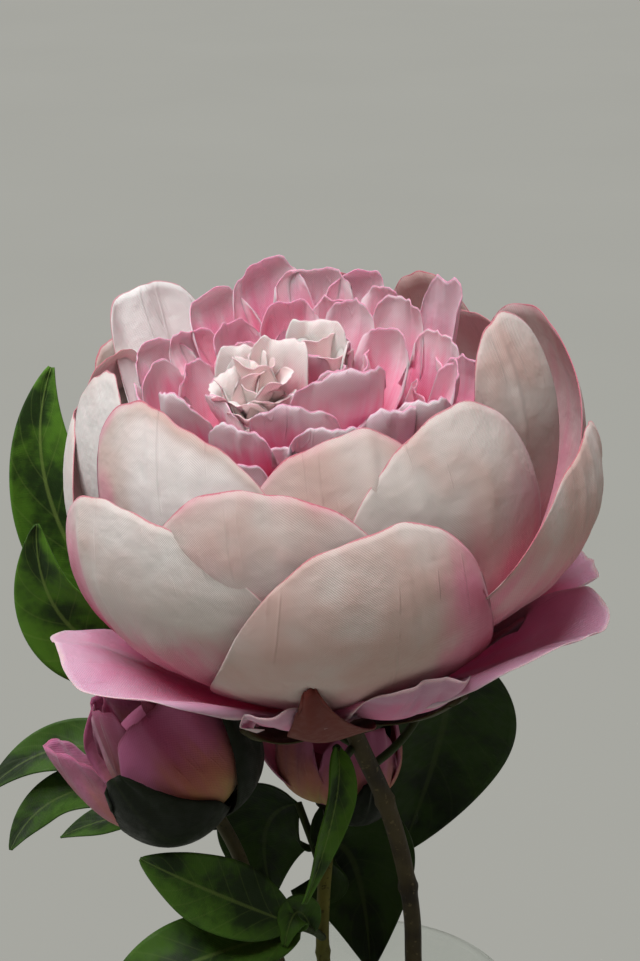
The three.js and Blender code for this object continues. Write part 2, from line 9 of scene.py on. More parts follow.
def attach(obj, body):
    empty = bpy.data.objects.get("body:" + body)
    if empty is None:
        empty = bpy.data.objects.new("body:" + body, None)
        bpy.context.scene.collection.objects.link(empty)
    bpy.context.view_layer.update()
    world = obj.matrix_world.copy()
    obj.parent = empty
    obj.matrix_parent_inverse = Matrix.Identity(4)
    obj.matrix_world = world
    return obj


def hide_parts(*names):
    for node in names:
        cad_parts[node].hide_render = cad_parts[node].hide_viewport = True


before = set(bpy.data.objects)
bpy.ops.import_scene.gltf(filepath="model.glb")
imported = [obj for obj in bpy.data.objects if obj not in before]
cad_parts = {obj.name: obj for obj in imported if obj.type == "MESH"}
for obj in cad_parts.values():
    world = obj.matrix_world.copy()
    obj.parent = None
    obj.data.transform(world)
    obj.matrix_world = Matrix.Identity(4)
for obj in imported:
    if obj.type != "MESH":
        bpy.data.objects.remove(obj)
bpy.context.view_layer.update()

# View: the camera stands in front of the bloom and a little above it, and looks down on it by 20 degrees, so
# that the bloom fills the frame and only the back of the vase's rim is in it.
CAMERA_PLACE = (-0.014, -0.4473, 0.4868)
LOOKS_DOWN = 20
SENSOR = 36
PICTURE_HEIGHT = 961
FOCAL_PIXELS = 2000


def set_out(name, data):
    """A new object in the scene."""
    made = bpy.data.objects.new(name, data)
    bpy.context.collection.objects.link(made)
    return made


camera_data = bpy.data.cameras.new("camera")
camera_data.sensor_width = SENSOR
camera_data.lens = SENSOR * FOCAL_PIXELS / PICTURE_HEIGHT
camera_data.clip_start = 0.01
camera = set_out("camera", camera_data)
camera.location = CAMERA_PLACE
camera.rotation_euler = (math.radians(90 - LOOKS_DOWN), 0, 0)
bpy.context.scene.camera = camera


# Floor: one wide sheet of matt warm grey card, laid flat, that the vase stands on. It lies a hair's breadth
# under the foot, so that the two faces don't coincide.
FLOOR_RADIUS = 5.0
FLOOR_CLEARANCE = 0.0002
CARD_SIDES = 96


def paint(card):
    """The colour that a paint card names in six hex digits, in the values that light is mixed in."""
    parts = [int(card[i : i + 2], 16) / 255 for i in (0, 2, 4)]
    return (*[c / 12.92 if c <= 0.04045 else ((c + 0.055) / 1.055) ** 2.4 for c in parts], 1)


class Mixer:
    """Short names for the nodes that mix the colours and the relief of one material or effect."""

    def __init__(self, tree):
        self.tree = tree

    def add(self, kind, inputs=None, **settings):
        """A node whose inputs are given as plain values or as the sockets that feed them."""
        made = self.tree.nodes.new("ShaderNode" + kind)
        for name, value in settings.items():
            setattr(made, name, value)
        for name, value in (inputs or {}).items():
            if isinstance(value, bpy.types.NodeSocket):
                self.tree.links.new(value, made.inputs[name])
            else:
                made.inputs[name].default_value = value
        return made

    def feed(self, value, socket):
        self.tree.links.new(value, socket)

    def place(self):
        return self.add("TexCoord").outputs["Object"]

    def mark(self, name):
        return self.add("Attribute", attribute_name=name).outputs["Fac"]

    def noise(self, vector, scale, detail):
        return self.add("TexNoise", {"Vector": vector, "Scale": scale, "Detail": detail}).outputs["Fac"]

    def calc(self, operation, a, b=0.0):
        return self.add("Math", {0: a, 1: b}, operation=operation).outputs[0]

    def plus(self, a, b):
        return self.calc("ADD", a, b)

    def minus(self, a, b):
        return self.calc("SUBTRACT", a, b)

    def times(self, a, b):
        return self.calc("MULTIPLY", a, b)

    def ramp(self, value, low, high, first=0.0, last=1.0, ease="SMOOTHSTEP"):
        inputs = {"Value": value, "From Min": low, "From Max": high, "To Min": first, "To Max": last}
        return self.add("MapRange", inputs, interpolation_type=ease).outputs[0]

    def blend(self, share, a, b, kind="MIX"):
        return self.add("Mix", {0: share, 6: a, 7: b}, data_type="RGBA", blend_type=kind).outputs[2]

    def bump(self, height, strength, distance):
        return self.add("Bump", {"Height": height, "Strength": strength, "Distance": distance}).outputs[0]

    def weave(self, closeness):
        """Warp and weft threads, laid on the cloth's own UV map."""
        cloth = self.add("UVMap").outputs["UV"]
        threads = self.add("VectorMath", {0: cloth, "Scale": closeness}, operation="SCALE").outputs["Vector"]
        axes = self.add("SeparateXYZ", {0: threads}).outputs
        return self.times(self.calc("SINE", axes["X"]), self.calc("SINE", axes["Y"]))


def new_finish(name, roughness=0.6, **settings):
    """A new material and its shader, with the constants of the shader set on its own sockets."""
    made = bpy.data.materials.new(name)
    made.use_nodes = True
    shader = made.node_tree.nodes["Principled BSDF"]
    shader.inputs["Roughness"].default_value = roughness
    for socket, value in settings.items():
        shader.inputs[socket.replace("_", " ")].default_value = value
    return made, shader


bpy.ops.mesh.primitive_circle_add(
    vertices=CARD_SIDES, radius=FLOOR_RADIUS, fill_type="NGON", location=(0, 0, -FLOOR_CLEARANCE)
)
floor = bpy.context.object
floor.name = "floor"
card_finish, card_shader = new_finish("floor_card", roughness=0.9)
card = Mixer(card_finish.node_tree)
card_colour = card.blend(card.noise(card.place(), 3.0, 3.0), paint("8b8d86"), paint("8f918a"))
card.feed(card_colour, card_shader.inputs["Base Color"])
floor.data.materials.append(card_finish)

# Backdrop: the card goes on up behind the floor's edge, all round. It is lit from behind to the floor's own
# brightness, and throws no light or shadow on the flowers.
BACKDROP_HEIGHT = 2.5
BACKDROP_BRIGHTNESS = "a7a8a1"

bpy.ops.mesh.primitive_cylinder_add(
    vertices=CARD_SIDES, radius=FLOOR_RADIUS, depth=BACKDROP_HEIGHT, end_fill_type="NOTHING",
    location=(0, 0, BACKDROP_HEIGHT / 2 - FLOOR_CLEARANCE),
)
backdrop = bpy.context.object
backdrop.name = "backdrop"
backdrop.visible_diffuse = False
backdrop.visible_glossy = False
backdrop.visible_shadow = False
backdrop_finish = new_finish(
    "backdrop_card", roughness=0.9, Base_Color=paint("000000"), Specular_IOR_Level=0.0,
    Emission_Color=paint(BACKDROP_BRIGHTNESS), Emission_Strength=1.0,
)[0]
backdrop.data.materials.append(backdrop_finish)


# Light: one very soft, strong lamp from high up, in front and to the left. Dim warm light comes from all
# round, as from the walls of a room, and fills the shadows.
LAMP = dict(turn=-46, height=71, spread=40, power=4.25, colour="fdfcff")
ROOM_COLOUR = "d8c4b8"
ROOM_STRENGTH = 0.2

lamp_data = bpy.data.lights.new("lamp", "SUN")
lamp_data.energy = LAMP["power"]
lamp_data.angle = math.radians(LAMP["spread"])
lamp_data.color = paint(LAMP["colour"])[:3]
lamp = set_out("lamp", lamp_data)
lamp.rotation_euler = (math.radians(90 - LAMP["height"]), 0, math.radians(LAMP["turn"]))
room = bpy.data.worlds.new("room")
bpy.context.scene.world = room
room.use_nodes = True
room.node_tree.nodes["Background"].inputs["Color"].default_value = paint(ROOM_COLOUR)
room.node_tree.nodes["Background"].inputs["Strength"].default_value = ROOM_STRENGTH
bpy.context.scene.view_settings.view_transform = "Standard"


# Vase: clear glass, pressed in one piece with a thick flat foot, a rounded body, a narrow neck and a flared
# rim that is melted round. The profile is spun about the upright axis.
MM = 0.001
VASE_HEIGHT = 180
RIM_RADIUS = 37.5
NECK_RADIUS = 20.5
BODY_RADIUS = 35
FOOT_RADIUS = 28
NECK_HEIGHT = 125
BODY_HEIGHT = 42
WALL = 2.6
BASE_THICKNESS = 10
FOOT_EDGE = 2
FLOOR_EDGE = 6
FLARE = 2.4
VASE_SIDES = 96
WALL_START = 14
WALL_STEP = 4


def vase_radius(height):
    if height < BODY_HEIGHT:
        return BODY_RADIUS - (BODY_RADIUS - FOOT_RADIUS) * (1 - height / BODY_HEIGHT) ** 2
    if height < NECK_HEIGHT:
        swing = 0.5 + 0.5 * math.cos(math.pi * (height - BODY_HEIGHT) / (NECK_HEIGHT - BODY_HEIGHT))
        return NECK_RADIUS + (BODY_RADIUS - NECK_RADIUS) * swing
    flared = ((height - NECK_HEIGHT) / (VASE_HEIGHT - NECK_HEIGHT)) ** FLARE
    return NECK_RADIUS + (RIM_RADIUS - NECK_RADIUS) * flared


def arc(centre, radius, first, last, steps):
    """Points on an arc of the profile, from one angle in degrees to another."""
    angles = [math.radians(first + (last - first) * i / steps) for i in range(steps + 1)]
    return [(centre[0] + radius * math.cos(a), centre[1] + radius * math.sin(a)) for a in angles]


def pick_up(*pieces):
    """Selects these objects alone, for the tools that work on what is selected."""
    bpy.ops.object.select_all(action="DESELECT")
    for piece in pieces:
        piece.select_set(True)
    bpy.context.view_layer.objects.active = pieces[0]


def spun(name, profile, sides):
    """A solid of revolution from a profile of (radius, height) in mm that starts and ends on the axis."""
    mesh = bpy.data.meshes.new(name)
    points = [(r * MM, 0, z * MM) for r, z in profile]
    mesh.from_pydata(points, [(i, i + 1) for i in range(len(points) - 1)], [])
    made = set_out(name, mesh)
    pick_up(made)
    bpy.ops.object.mode_set(mode="EDIT")
    bpy.ops.mesh.select_all(action="SELECT")
    bpy.ops.mesh.spin(steps=sides, angle=2 * math.pi, center=(0, 0, 0), axis=(0, 0, 1))
    bpy.ops.mesh.select_all(action="SELECT")
    bpy.ops.mesh.remove_doubles(threshold=0.01 * MM)
    bpy.ops.mesh.normals_make_consistent(inside=False)
    bpy.ops.object.mode_set(mode="OBJECT")
    return made


wall_levels = [WALL_START + WALL_STEP * i for i in range(41)]
inner_bend = vase_radius(BASE_THICKNESS + FLOOR_EDGE) - WALL - FLOOR_EDGE
vase_profile = [
    (0, 0),
    *arc((FOOT_RADIUS - FOOT_EDGE, FOOT_EDGE), FOOT_EDGE, -90, 0, 6),
    (vase_radius(WALL_START / 2), WALL_START / 2),
    *[(vase_radius(z), z) for z in wall_levels],
    *arc((RIM_RADIUS - WALL / 2, VASE_HEIGHT - WALL / 2), WALL / 2, 0, 180, 12),
    *[(vase_radius(z) - WALL, z) for z in reversed(wall_levels[1:])],
    *arc((inner_bend, BASE_THICKNESS + FLOOR_EDGE), FLOOR_EDGE, 0, -90, 8),
    (0, BASE_THICKNESS),
]
vase = spun("glass_vase", vase_profile, VASE_SIDES)
bpy.ops.object.shade_smooth_by_angle(angle=math.radians(40))
glass, glass_shader = new_finish(
    "clear_glass", roughness=0.03, IOR=1.48, Transmission_Weight=1.0, Base_Color=paint("f6faf7")
)
pressed = Mixer(glass.node_tree)
smears = pressed.ramp(pressed.noise(pressed.place(), 55.0, 4.0), 0.45, 0.75, 0.015, 0.09, "LINEAR")
pressed.feed(smears, glass_shader.inputs["Roughness"])
unevenness = pressed.bump(pressed.noise(pressed.place(), 26.0, 1.0), 0.25, 0.0006)
pressed.feed(unevenness, glass_shader.inputs["Normal"])
vase.data.materials.append(glass)
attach(vase, "root")
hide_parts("vase")


# Stems: wire with a moulded, faintly ribbed coat, from the vase's inner floor through the neck to each head.
# The bloom's stem is thick and brown, the left bud's is pale and the middle one is yellow-green.
STEM_FLOOR = BASE_THICKNESS + 0.5
MAIN_STEM = [
    (-9, -4, STEM_FLOOR), (-8, -3.5, 24), (2, 3, 80), (11.5, 9.6, 128), (12, 12, 165), (11, 12, 183),
    (10.4, 11, 197), (7.6, 9, 215.4), (2.6, 6, 234.7), (-3.6, 2, 251.5), (-7.3, 0.2, 261.4),
]
LEFT_STEM = [
    (11, -9, STEM_FLOOR), (10.4, -8.8, 24), (-4, -5, 80), (-14.4, -1.5, 126), (-18.2, 0, 155),
    (-24, 1.6, 186), (-30.9, 4, 206.5), (-35.6, 6, 220), (-40.7, 6, 231),
]
MIDDLE_STEM = [
    (5, 11, STEM_FLOOR), (4.6, 11.2, 24), (-1, 12.5, 80), (-6.4, 14.2, 128), (-11, 13, 165),
    (-13.3, 12, 188), (-12.6, 20, 205), (-10.5, 29.5, 218),
]
MAIN_RADIUS = 2.3
SIDE_RADIUS = 1.8
JOINT_LENGTH = 0.008


def smooth_path(points, steps):
    """Points along the smooth curve that a bent wire takes through the given ones."""
    knots = [np.array(p, float) for p in points]
    knots = [2 * knots[0] - knots[1], *knots, 2 * knots[-1] - knots[-2]]
    path = []
    for i in range(steps + 1):
        place = (len(points) - 1) * i / steps
        k = min(int(place), len(points) - 2)
        t = place - k
        a, b, c, d = knots[k : k + 4]
        before, here, after = [max(float(np.linalg.norm(gap)) ** 0.5, 1e-4) for gap in (b - a, c - b, d - c)]
        start = ((b - a) / before - (c - a) / (before + here) + (c - b) / here) * here
        end = ((c - b) / here - (d - b) / (here + after) + (d - c) / after) * here
        path.append(
            b + start * t + (-3 * b + 3 * c - 2 * start - end) * t**2 + (2 * b - 2 * c + start + end) * t**3
        )
    return path


def wire(name, points, radius, steps, swell=None):
    """A coated wire along a smooth path. swell gives the thickness at each share of its length."""
    curve = bpy.data.curves.new(name, "CURVE")
    curve.dimensions = "3D"
    curve.bevel_depth = radius * MM
    curve.bevel_resolution = 5
    curve.use_fill_caps = True
    line = curve.splines.new("POLY")
    path = smooth_path(points, steps)
    line.points.add(len(path) - 1)
    for i, (spot, place) in enumerate(zip(line.points, path)):
        spot.co = (*(place * MM), 1)
        spot.radius = swell(i / steps) if swell else 1
    pick_up(set_out(name, curve))
    bpy.ops.object.convert(target="MESH")
    bpy.ops.object.shade_smooth()
    return bpy.context.object


def stem_swell(joints, amount):
    """Small swellings where a moulded stem has its joints, each at a share of its length."""
    return lambda s: 1 + sum(amount * math.exp(-(((s - joint) / JOINT_LENGTH) ** 2)) for joint in joints)


def stem_finish(name, dark, light, fleck):
    made, shader = new_finish(name, roughness=0.6, Specular_IOR_Level=0.25)
    coat = Mixer(made.node_tree)
    place = coat.place()
    drawn_out = coat.add("Mapping", {"Vector": place, "Scale": (900.0, 900.0, 60.0)}).outputs[0]
    patches = coat.noise(place, 90.0, 4.0)
    ground = coat.blend(coat.ramp(patches, 0.35, 0.65, ease="LINEAR"), paint(dark), paint(light))
    few = coat.ramp(coat.noise(place, 700.0, 2.0), 0.62, 0.7, 0.0, 0.7, "LINEAR")
    coat.feed(coat.blend(few, ground, paint(fleck)), shader.inputs["Base Color"])
    coat.feed(coat.ramp(patches, 0.0, 1.0, 0.5, 0.75, "LINEAR"), shader.inputs["Roughness"])
    ribs = coat.bump(coat.noise(drawn_out, 1.0, 3.0), 0.5, 0.0004)
    coat.feed(ribs, shader.inputs["Normal"])
    return made


def place_piece(piece, finish, slot, *nodes):
    """Gives a finished piece its material, hangs it on the root body, and hides the solids of the frame that
    it stands for.
    """
    piece.data.materials.clear()
    piece.data.materials.append(finish)
    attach(piece, "root")
    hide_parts(*nodes)


main_swell = stem_swell(joints=(0.3, 0.655, 0.8), amount=0.22)
main_stem = wire("main_stem", MAIN_STEM, MAIN_RADIUS, steps=110, swell=main_swell)
brown_coat = stem_finish("brown_coat", dark="262014", light="494129", fleck="6b6040")
place_piece(main_stem, brown_coat, "stem_brown", "bloom_stem")

left_swell = stem_swell(joints=(0.42, 0.74), amount=0.2)
left_stem = wire("left_stem", LEFT_STEM, SIDE_RADIUS, steps=90, swell=left_swell)
beige_coat = stem_finish("beige_coat", dark="3d3a24", light="605b3d", fleck="302e1b")
place_piece(left_stem, beige_coat, "stem_beige", "bud_stem")

middle_swell = stem_swell(joints=(0.5, 0.7), amount=0.2)
middle_stem = wire("middle_stem", MIDDLE_STEM, SIDE_RADIUS, steps=90, swell=middle_swell)
green_coat = stem_finish("green_coat", dark="4f5222", light="7f7f3a", fleck="3a3d1b")
place_piece(middle_stem, green_coat, "stem_green", "rear_bud_stem")


# Leaves: cut from printed cloth, pressed to a midrib and side veins, and wired to short stalks that clasp
# the stems. Their faces are dark green with lighter patches, and the midrib is pale.
LEAF_THICKNESS = 0.45
LEAF_WAVE = 0.4
LEAF_ROWS = 56
LEAF_COLUMNS = 20
STALK_RADIUS = 1.1
LEAF_THREADS = 9000.0
PRINTED_VEINS = 8.2
VEIN_SLANT = 0.22
VEIN_DEPTH = 0.22
EDGE_WAVE = 0.55
MIDRIB_HEIGHT = 0.3
MIDRIB_WIDTH = 0.07
# Each leaf: its root, a point that it bends through, its tip, its width, the way it faces, how it is folded.
# A spray's tone says how light its print is. The darker tones, darkest on the right leaf under the bloom,
# are partly painted shade.
LEAF_SPRAYS = [
    dict(name="left_upper_leaves", node="bloom_stem_leaves_left", tone=1.0,
        stalk=[(-2.6, 3, 250), (-12, 9, 254), (-26, 21, 259), (-42, 28, 262), (-56, 28, 263)],
        leaves=[
            ((-56, 28, 263), (-80.5, 22, 307), (-80.5, 27, 344), 20, (0.2, -1, 0.1)),
            ((-56, 28, 263), (-78, 16, 280), (-83.5, 10, 309), 21, (-0.1, -1, 0.3)),
            ((-42, 28, 262), (-62, 30, 269), (-84, 20, 273), 12, (0, -0.5, 1)),
        ]),
    dict(name="right_leaf", node="bloom_stem_leaves_right", tone=0.0,
        stalk=[(-1.6, 3.6, 245), (7, 12, 249), (16, 24, 258), (20, 30, 265)],
        leaves=[((20, 30, 265), (19, 46, 232), (9, 51, 193), 37, (0.1, -1, 0.15))]),
    dict(name="front_leaf", node="bloom_stem_leaf_front", tone=0.75,
        stalk=[(-6, 1.4, 252), (-8, -5, 253), (-10, -8, 257)],
        leaves=[((-10, -8, 257), (-10.8, -14, 243), (-18, -16, 218), 8, (0.7, -1, 0), 0.5)]),
    dict(name="left_bud_leaves", node="bud_stem_leaves", tone=0.3,
        stalk=[(-36.3, 6, 221), (-40, 16, 221), (-50, 32, 222)],
        leaves=[
            ((-50, 32, 222), (-80, 46, 229), (-106, 40, 218), 15, (0.1, -0.7, 1)),
            ((-50, 32, 222), (-82, 42, 217), (-99, 35, 203), 14, (-0.1, -0.6, 1)),
            ((-40, 16, 221), (-62, 26, 219), (-84, 28, 211), 12, (0, -0.4, 1)),
        ]),
    dict(name="low_leaves", node="rear_stem_leaves_low", tone=0.45,
        stalk=[(-13.2, 12, 190), (-16, 3, 198), (-21, -5, 205)],
        leaves=[
            ((-21, -5, 205), (-41, -11, 218), (-59, -10, 227), 18, (-0.3, -1, 0.9)),
            ((-19, -2, 201), (-48, -15, 199), (-70, -20, 188), 22, (-0.1, -0.5, 1)),
            ((-16, 3, 198), (-20, -4, 208), (-23, -9, 201), 9, (0, -1, 0.3)),
        ]),
    dict(name="rear_leaves", node="rear_stem_leaves_high", tone=0.1,
        stalk=[(-12.8, 17, 202), (-15, 28, 206), (-20, 38, 216)],
        leaves=[
            ((-20, 38, 216), (-29, 41, 206), (-27, 37, 187), 27, (0, -1, 0.2)),
            ((-15, 28, 206), (-5, 35, 200), (0, 24, 172), 36, (-0.1, -1, 0.3)),
        ]),
]

STEADY = 0.93
patterns = {}


def pattern(rows, columns):
    """A flat square of cloth with that many threads drawn on it, cut once and copied for every piece."""
    if (rows, columns) not in patterns:
        bpy.ops.mesh.primitive_grid_add(x_subdivisions=columns, y_subdivisions=rows, size=2, calc_uvs=True)
        square = bpy.context.object
        patterns[(rows, columns)] = square.data
        bpy.data.objects.remove(square)
    return patterns[(rows, columns)]


def swept(steps, axis):
    """Lengths summed along one way of a grid of steps, with a zero in front."""
    total = np.cumsum(steps, axis=axis)
    return np.concatenate([np.zeros_like(np.take(total, [0], axis=axis)), total], axis=axis)


def cut_cloth(name, rows, columns, surface, relief, place=None, tone=0.5, dye=None):
    """A piece of cloth on surface(u, v), in mm, with u from 0 at the root to 1 at the tip and v from -1 to 1
    across. relief(u, v) pushes it along its normal, which is taken a little way in from the edge, where it
    is steady. dye(u, v, edge) says how deep its dye goes, an amount that on the petals also holds painted
    shade and painted light, and place moves its points into the row frame."""
    mesh = pattern(rows, columns).copy()
    flat = np.empty(len(mesh.vertices) * 3)
    mesh.vertices.foreach_get("co", flat)
    shape = (rows + 1, columns + 1)
    v = flat[0::3].reshape(shape)
    u = (flat[1::3].reshape(shape) + 1) / 2
    within = surface(u, STEADY * v)
    normal = np.cross(np.gradient(within, axis=1), np.gradient(within, axis=0))
    normal /= np.maximum(np.linalg.norm(normal, axis=2, keepdims=True), 1e-9)
    points = surface(u, v) + normal * relief(u, v)[..., None]
    beside = swept(np.linalg.norm(np.diff(points, axis=1), axis=2), 1)
    upward = swept(np.linalg.norm(np.diff(points, axis=0), axis=2), 0)
    edge = np.minimum(np.minimum(beside, beside[:, -1:] - beside), upward[-1:, :] - upward)
    cloth_x = beside - beside[:, -1:] / 2
    dyed_and_shaded = dye(u, v, edge) if dye else np.zeros(shape)
    marks = {"along": u, "across": v, "edge": edge, "tone": np.full(shape, tone), "dye": dyed_and_shaded}
    for mark, values in marks.items():
        attribute = mesh.attributes.new(mark, "FLOAT", "POINT")
        attribute.data.foreach_set("value", values.ravel().astype(np.float32))
    corners = np.empty(len(mesh.loops), dtype=np.int32)
    mesh.loops.foreach_get("vertex_index", corners)
    woven = np.stack([cloth_x.ravel()[corners], upward.ravel()[corners]], axis=1) * MM
    mesh.uv_layers[0].data.foreach_set("uv", woven.ravel().astype(np.float32))
    if place is not None:
        points = place(points)
    mesh.vertices.foreach_set("co", (points * MM).ravel())
    mesh.update()
    return set_out(name, mesh)


def sewn(name, cloths, thickness, solids=()):
    """Joins cut cloths into one piece, gives them their thickness, and adds the solids that hold them."""
    pick_up(*cloths)
    bpy.ops.object.join()
    made = bpy.context.object
    wall = made.modifiers.new("cloth", "SOLIDIFY")
    wall.thickness = thickness * MM
    wall.offset = 0
    bpy.ops.object.modifier_apply(modifier=wall.name)
    bpy.ops.object.shade_smooth()
    if solids:
        for solid in solids:
            solid.select_set(True)
        bpy.ops.object.join()
    made.name = name
    made.data.name = name
    return made


def leaf_surface(start, via, end, width, face, fold=0.3):
    first, last = np.array(start, float), np.array(end, float)
    bend = 2 * np.array(via, float) - (first + last) / 2
    facing = np.array(face, float) / np.linalg.norm(face)

    def surface(u, v):
        t = u[..., None]
        here = (1 - t) ** 2 * first + 2 * t * (1 - t) * bend + t**2 * last
        along = 2 * (1 - t) * (bend - first) + 2 * t * (last - bend)
        along /= np.linalg.norm(along, axis=2, keepdims=True)
        side = np.cross(along, facing)
        side /= np.linalg.norm(side, axis=2, keepdims=True)
        normal = np.cross(side, along)
        half = 0.5 + width / 2 * np.sin(np.pi * np.clip(u, 1e-6, 1 - 1e-6) ** 0.8) ** 0.85
        lift = fold * half * np.abs(v) ** 1.3 + LEAF_WAVE * np.sin(9 * u + 2 * v) * np.abs(v)
        return here + side * (v * half)[..., None] + normal * lift[..., None]

    return surface


def leaf_relief(seed):
    """The side veins pressed into the cloth, and the gentle waves of its edge."""
    draw = random.Random(seed)
    phase = draw.uniform(0, 6)
    count = draw.uniform(7.5, 9)

    def relief(u, v):
        veins = np.cos(2 * np.pi * count * (u - VEIN_SLANT * np.abs(v))) ** 8
        edge_wave = np.sin(11 * u + phase + 1.4 * np.sign(v)) * np.abs(v) ** 2
        midrib = np.exp(-((v / MIDRIB_WIDTH) ** 2))
        return VEIN_DEPTH * veins * (1 - np.abs(v)) ** 0.5 - EDGE_WAVE * edge_wave + MIDRIB_HEIGHT * midrib

    return relief


def new_effect(name, colours, values=()):
    """A node group that turns the colours and values it is given into a colour, a roughness and a normal."""
    tree = bpy.data.node_groups.new(name, "ShaderNodeTree")
    for kind, names in (("Color", colours), ("Float", values)):
        for given in names:
            tree.interface.new_socket(given, in_out="INPUT", socket_type="NodeSocket" + kind)
    for kind, result in (("Color", "Colour"), ("Float", "Roughness"), ("Vector", "Normal")):
        tree.interface.new_socket(result, in_out="OUTPUT", socket_type="NodeSocket" + kind)
    return tree, tree.nodes.new("NodeGroupInput").outputs, tree.nodes.new("NodeGroupOutput").inputs


def use_effect(finish, shader, effect, given):
    """Places an effect in a material, with the material's own colours and values."""
    tree = finish.node_tree
    group = tree.nodes.new("ShaderNodeGroup")
    group.node_tree = effect
    for socket, value in given.items():
        group.inputs[socket].default_value = value
    for out, socket in (("Colour", "Base Color"), ("Roughness", "Roughness"), ("Normal", "Normal")):
        tree.links.new(group.outputs[out], shader.inputs[socket])
    return finish


def printed_leaf_effect():
    """Print and pressing of a cloth leaf: dark green, lighter patches, a pale midrib and side veins. Its
    tone darkens the print toward near-black, which is partly the leaf's own dark green and partly painted
    shade on the leaves that lie in the bloom's shade, and its dye says how far it is blushed."""
    tree, given, result = new_effect("printed leaf", ("Dark", "Light", "Vein", "Blush"))
    ink = Mixer(tree)
    place = ink.place()
    mottle = ink.noise(place, 420.0, 3.0)
    away = ink.calc("ABSOLUTE", ink.mark("across"))
    lit = ink.plus(ink.times(ink.noise(place, 75.0, 3.0), 0.8), ink.times(mottle, 0.2))
    patches = ink.ramp(ink.plus(lit, ink.times(away, 0.12)), 0.44, 0.66)
    ground = ink.blend(patches, given["Dark"], given["Light"])
    slant = ink.minus(ink.mark("along"), ink.times(away, VEIN_SLANT))
    rhythm = ink.calc("COSINE", ink.times(slant, 2 * math.pi * PRINTED_VEINS))
    veined = ink.blend(ink.ramp(rhythm, 0.93, 1.0, 0.0, 0.16), ground, given["Vein"])
    ribbed = ink.blend(ink.ramp(away, 0.02, 0.07, 0.5, 0.0), veined, given["Vein"])
    # The tone darkens the print toward near-black: partly the leaf's own dark green, partly painted shade on
    # the leaves that lie in the bloom's shade.
    printed_and_shaded = ink.blend(ink.ramp(ink.mark("tone"), 0.0, 1.0, 0.8, 0.0), ribbed, paint("0b1406"))
    blushed = ink.blend(ink.ramp(ink.mark("dye"), 0.0, 1.0), printed_and_shaded, given["Blush"])
    ink.feed(blushed, result["Colour"])
    ink.feed(ink.ramp(mottle, 0.3, 0.7, 0.5, 0.72), result["Roughness"])
    height = ink.plus(ink.times(ink.weave(LEAF_THREADS), 0.12), ink.times(mottle, 0.6))
    ink.feed(ink.bump(height, 0.45, 0.0003), result["Normal"])
    return tree


leaf_print = printed_leaf_effect()


def leaf_finish(name, dark, light, vein, blush):
    made, shader = new_finish(
        name, roughness=0.6, Specular_IOR_Level=0.2, Sheen_Weight=0.04, Subsurface_Weight=0.06,
        Subsurface_Radius=(0.4, 1.0, 0.2), Subsurface_Scale=0.0012,
    )
    colours = {"Dark": paint(dark), "Light": paint(light), "Vein": paint(vein), "Blush": paint(blush)}
    return use_effect(made, shader, leaf_print, colours)


green_leaf = leaf_finish("green_leaf_cloth", "223a12", "4e7a1f", "7f9a4a", "5a4a2a")
for k, spray in enumerate(LEAF_SPRAYS):
    leaves = []
    for i, leaf in enumerate(spray["leaves"]):
        name, relief = f"leaf_{k}_{i}", leaf_relief(10 * k + i)
        cut = cut_cloth(name, LEAF_ROWS, LEAF_COLUMNS, leaf_surface(*leaf), relief, tone=spray["tone"])
        leaves.append(cut)
    stalk = wire(f"stalk_{k}", spray["stalk"], STALK_RADIUS, steps=24)
    piece = sewn(spray["name"], leaves, LEAF_THICKNESS, [stalk])
    place_piece(piece, green_leaf, "leaf_green", spray["node"])


# Bloom: its petals are cut from fine woven cloth, white to blush, and pink at the root. They stand round the
# middle of the widest ring, which is carried SEAT_DEPTH above the stem's end and leans to the left.
BLOOM_SEAT = np.array([-7.5, 0, 262])
BLOOM_TILT = -7
SEAT_DEPTH = 62
CORNER = 0.997
ROUNDNESS = 2.6
SILK_THREADS = 11000.0
RIM_FADE = 3.0


def turned_about(axis, degrees):
    return np.array(Matrix.Rotation(math.radians(degrees), 3, axis))


tilt = turned_about("Y", BLOOM_TILT)


def on_bloom(points):
    """Moves points of the bloom's own frame into the row frame."""
    return (points + np.array([0, 0, SEAT_DEPTH])) @ tilt.T + BLOOM_SEAT


def bezier(points, t):
    s = 1 - t
    a, b, c, d = points
    return s**3 * a + 3 * s**2 * t * b + 3 * s * t**2 * c + t**3 * d


def bezier_slope(points, t):
    s = 1 - t
    a, b, c, d = points
    return 3 * s**2 * (b - a) + 6 * s * t * (c - b) + 3 * t**2 * (d - c)


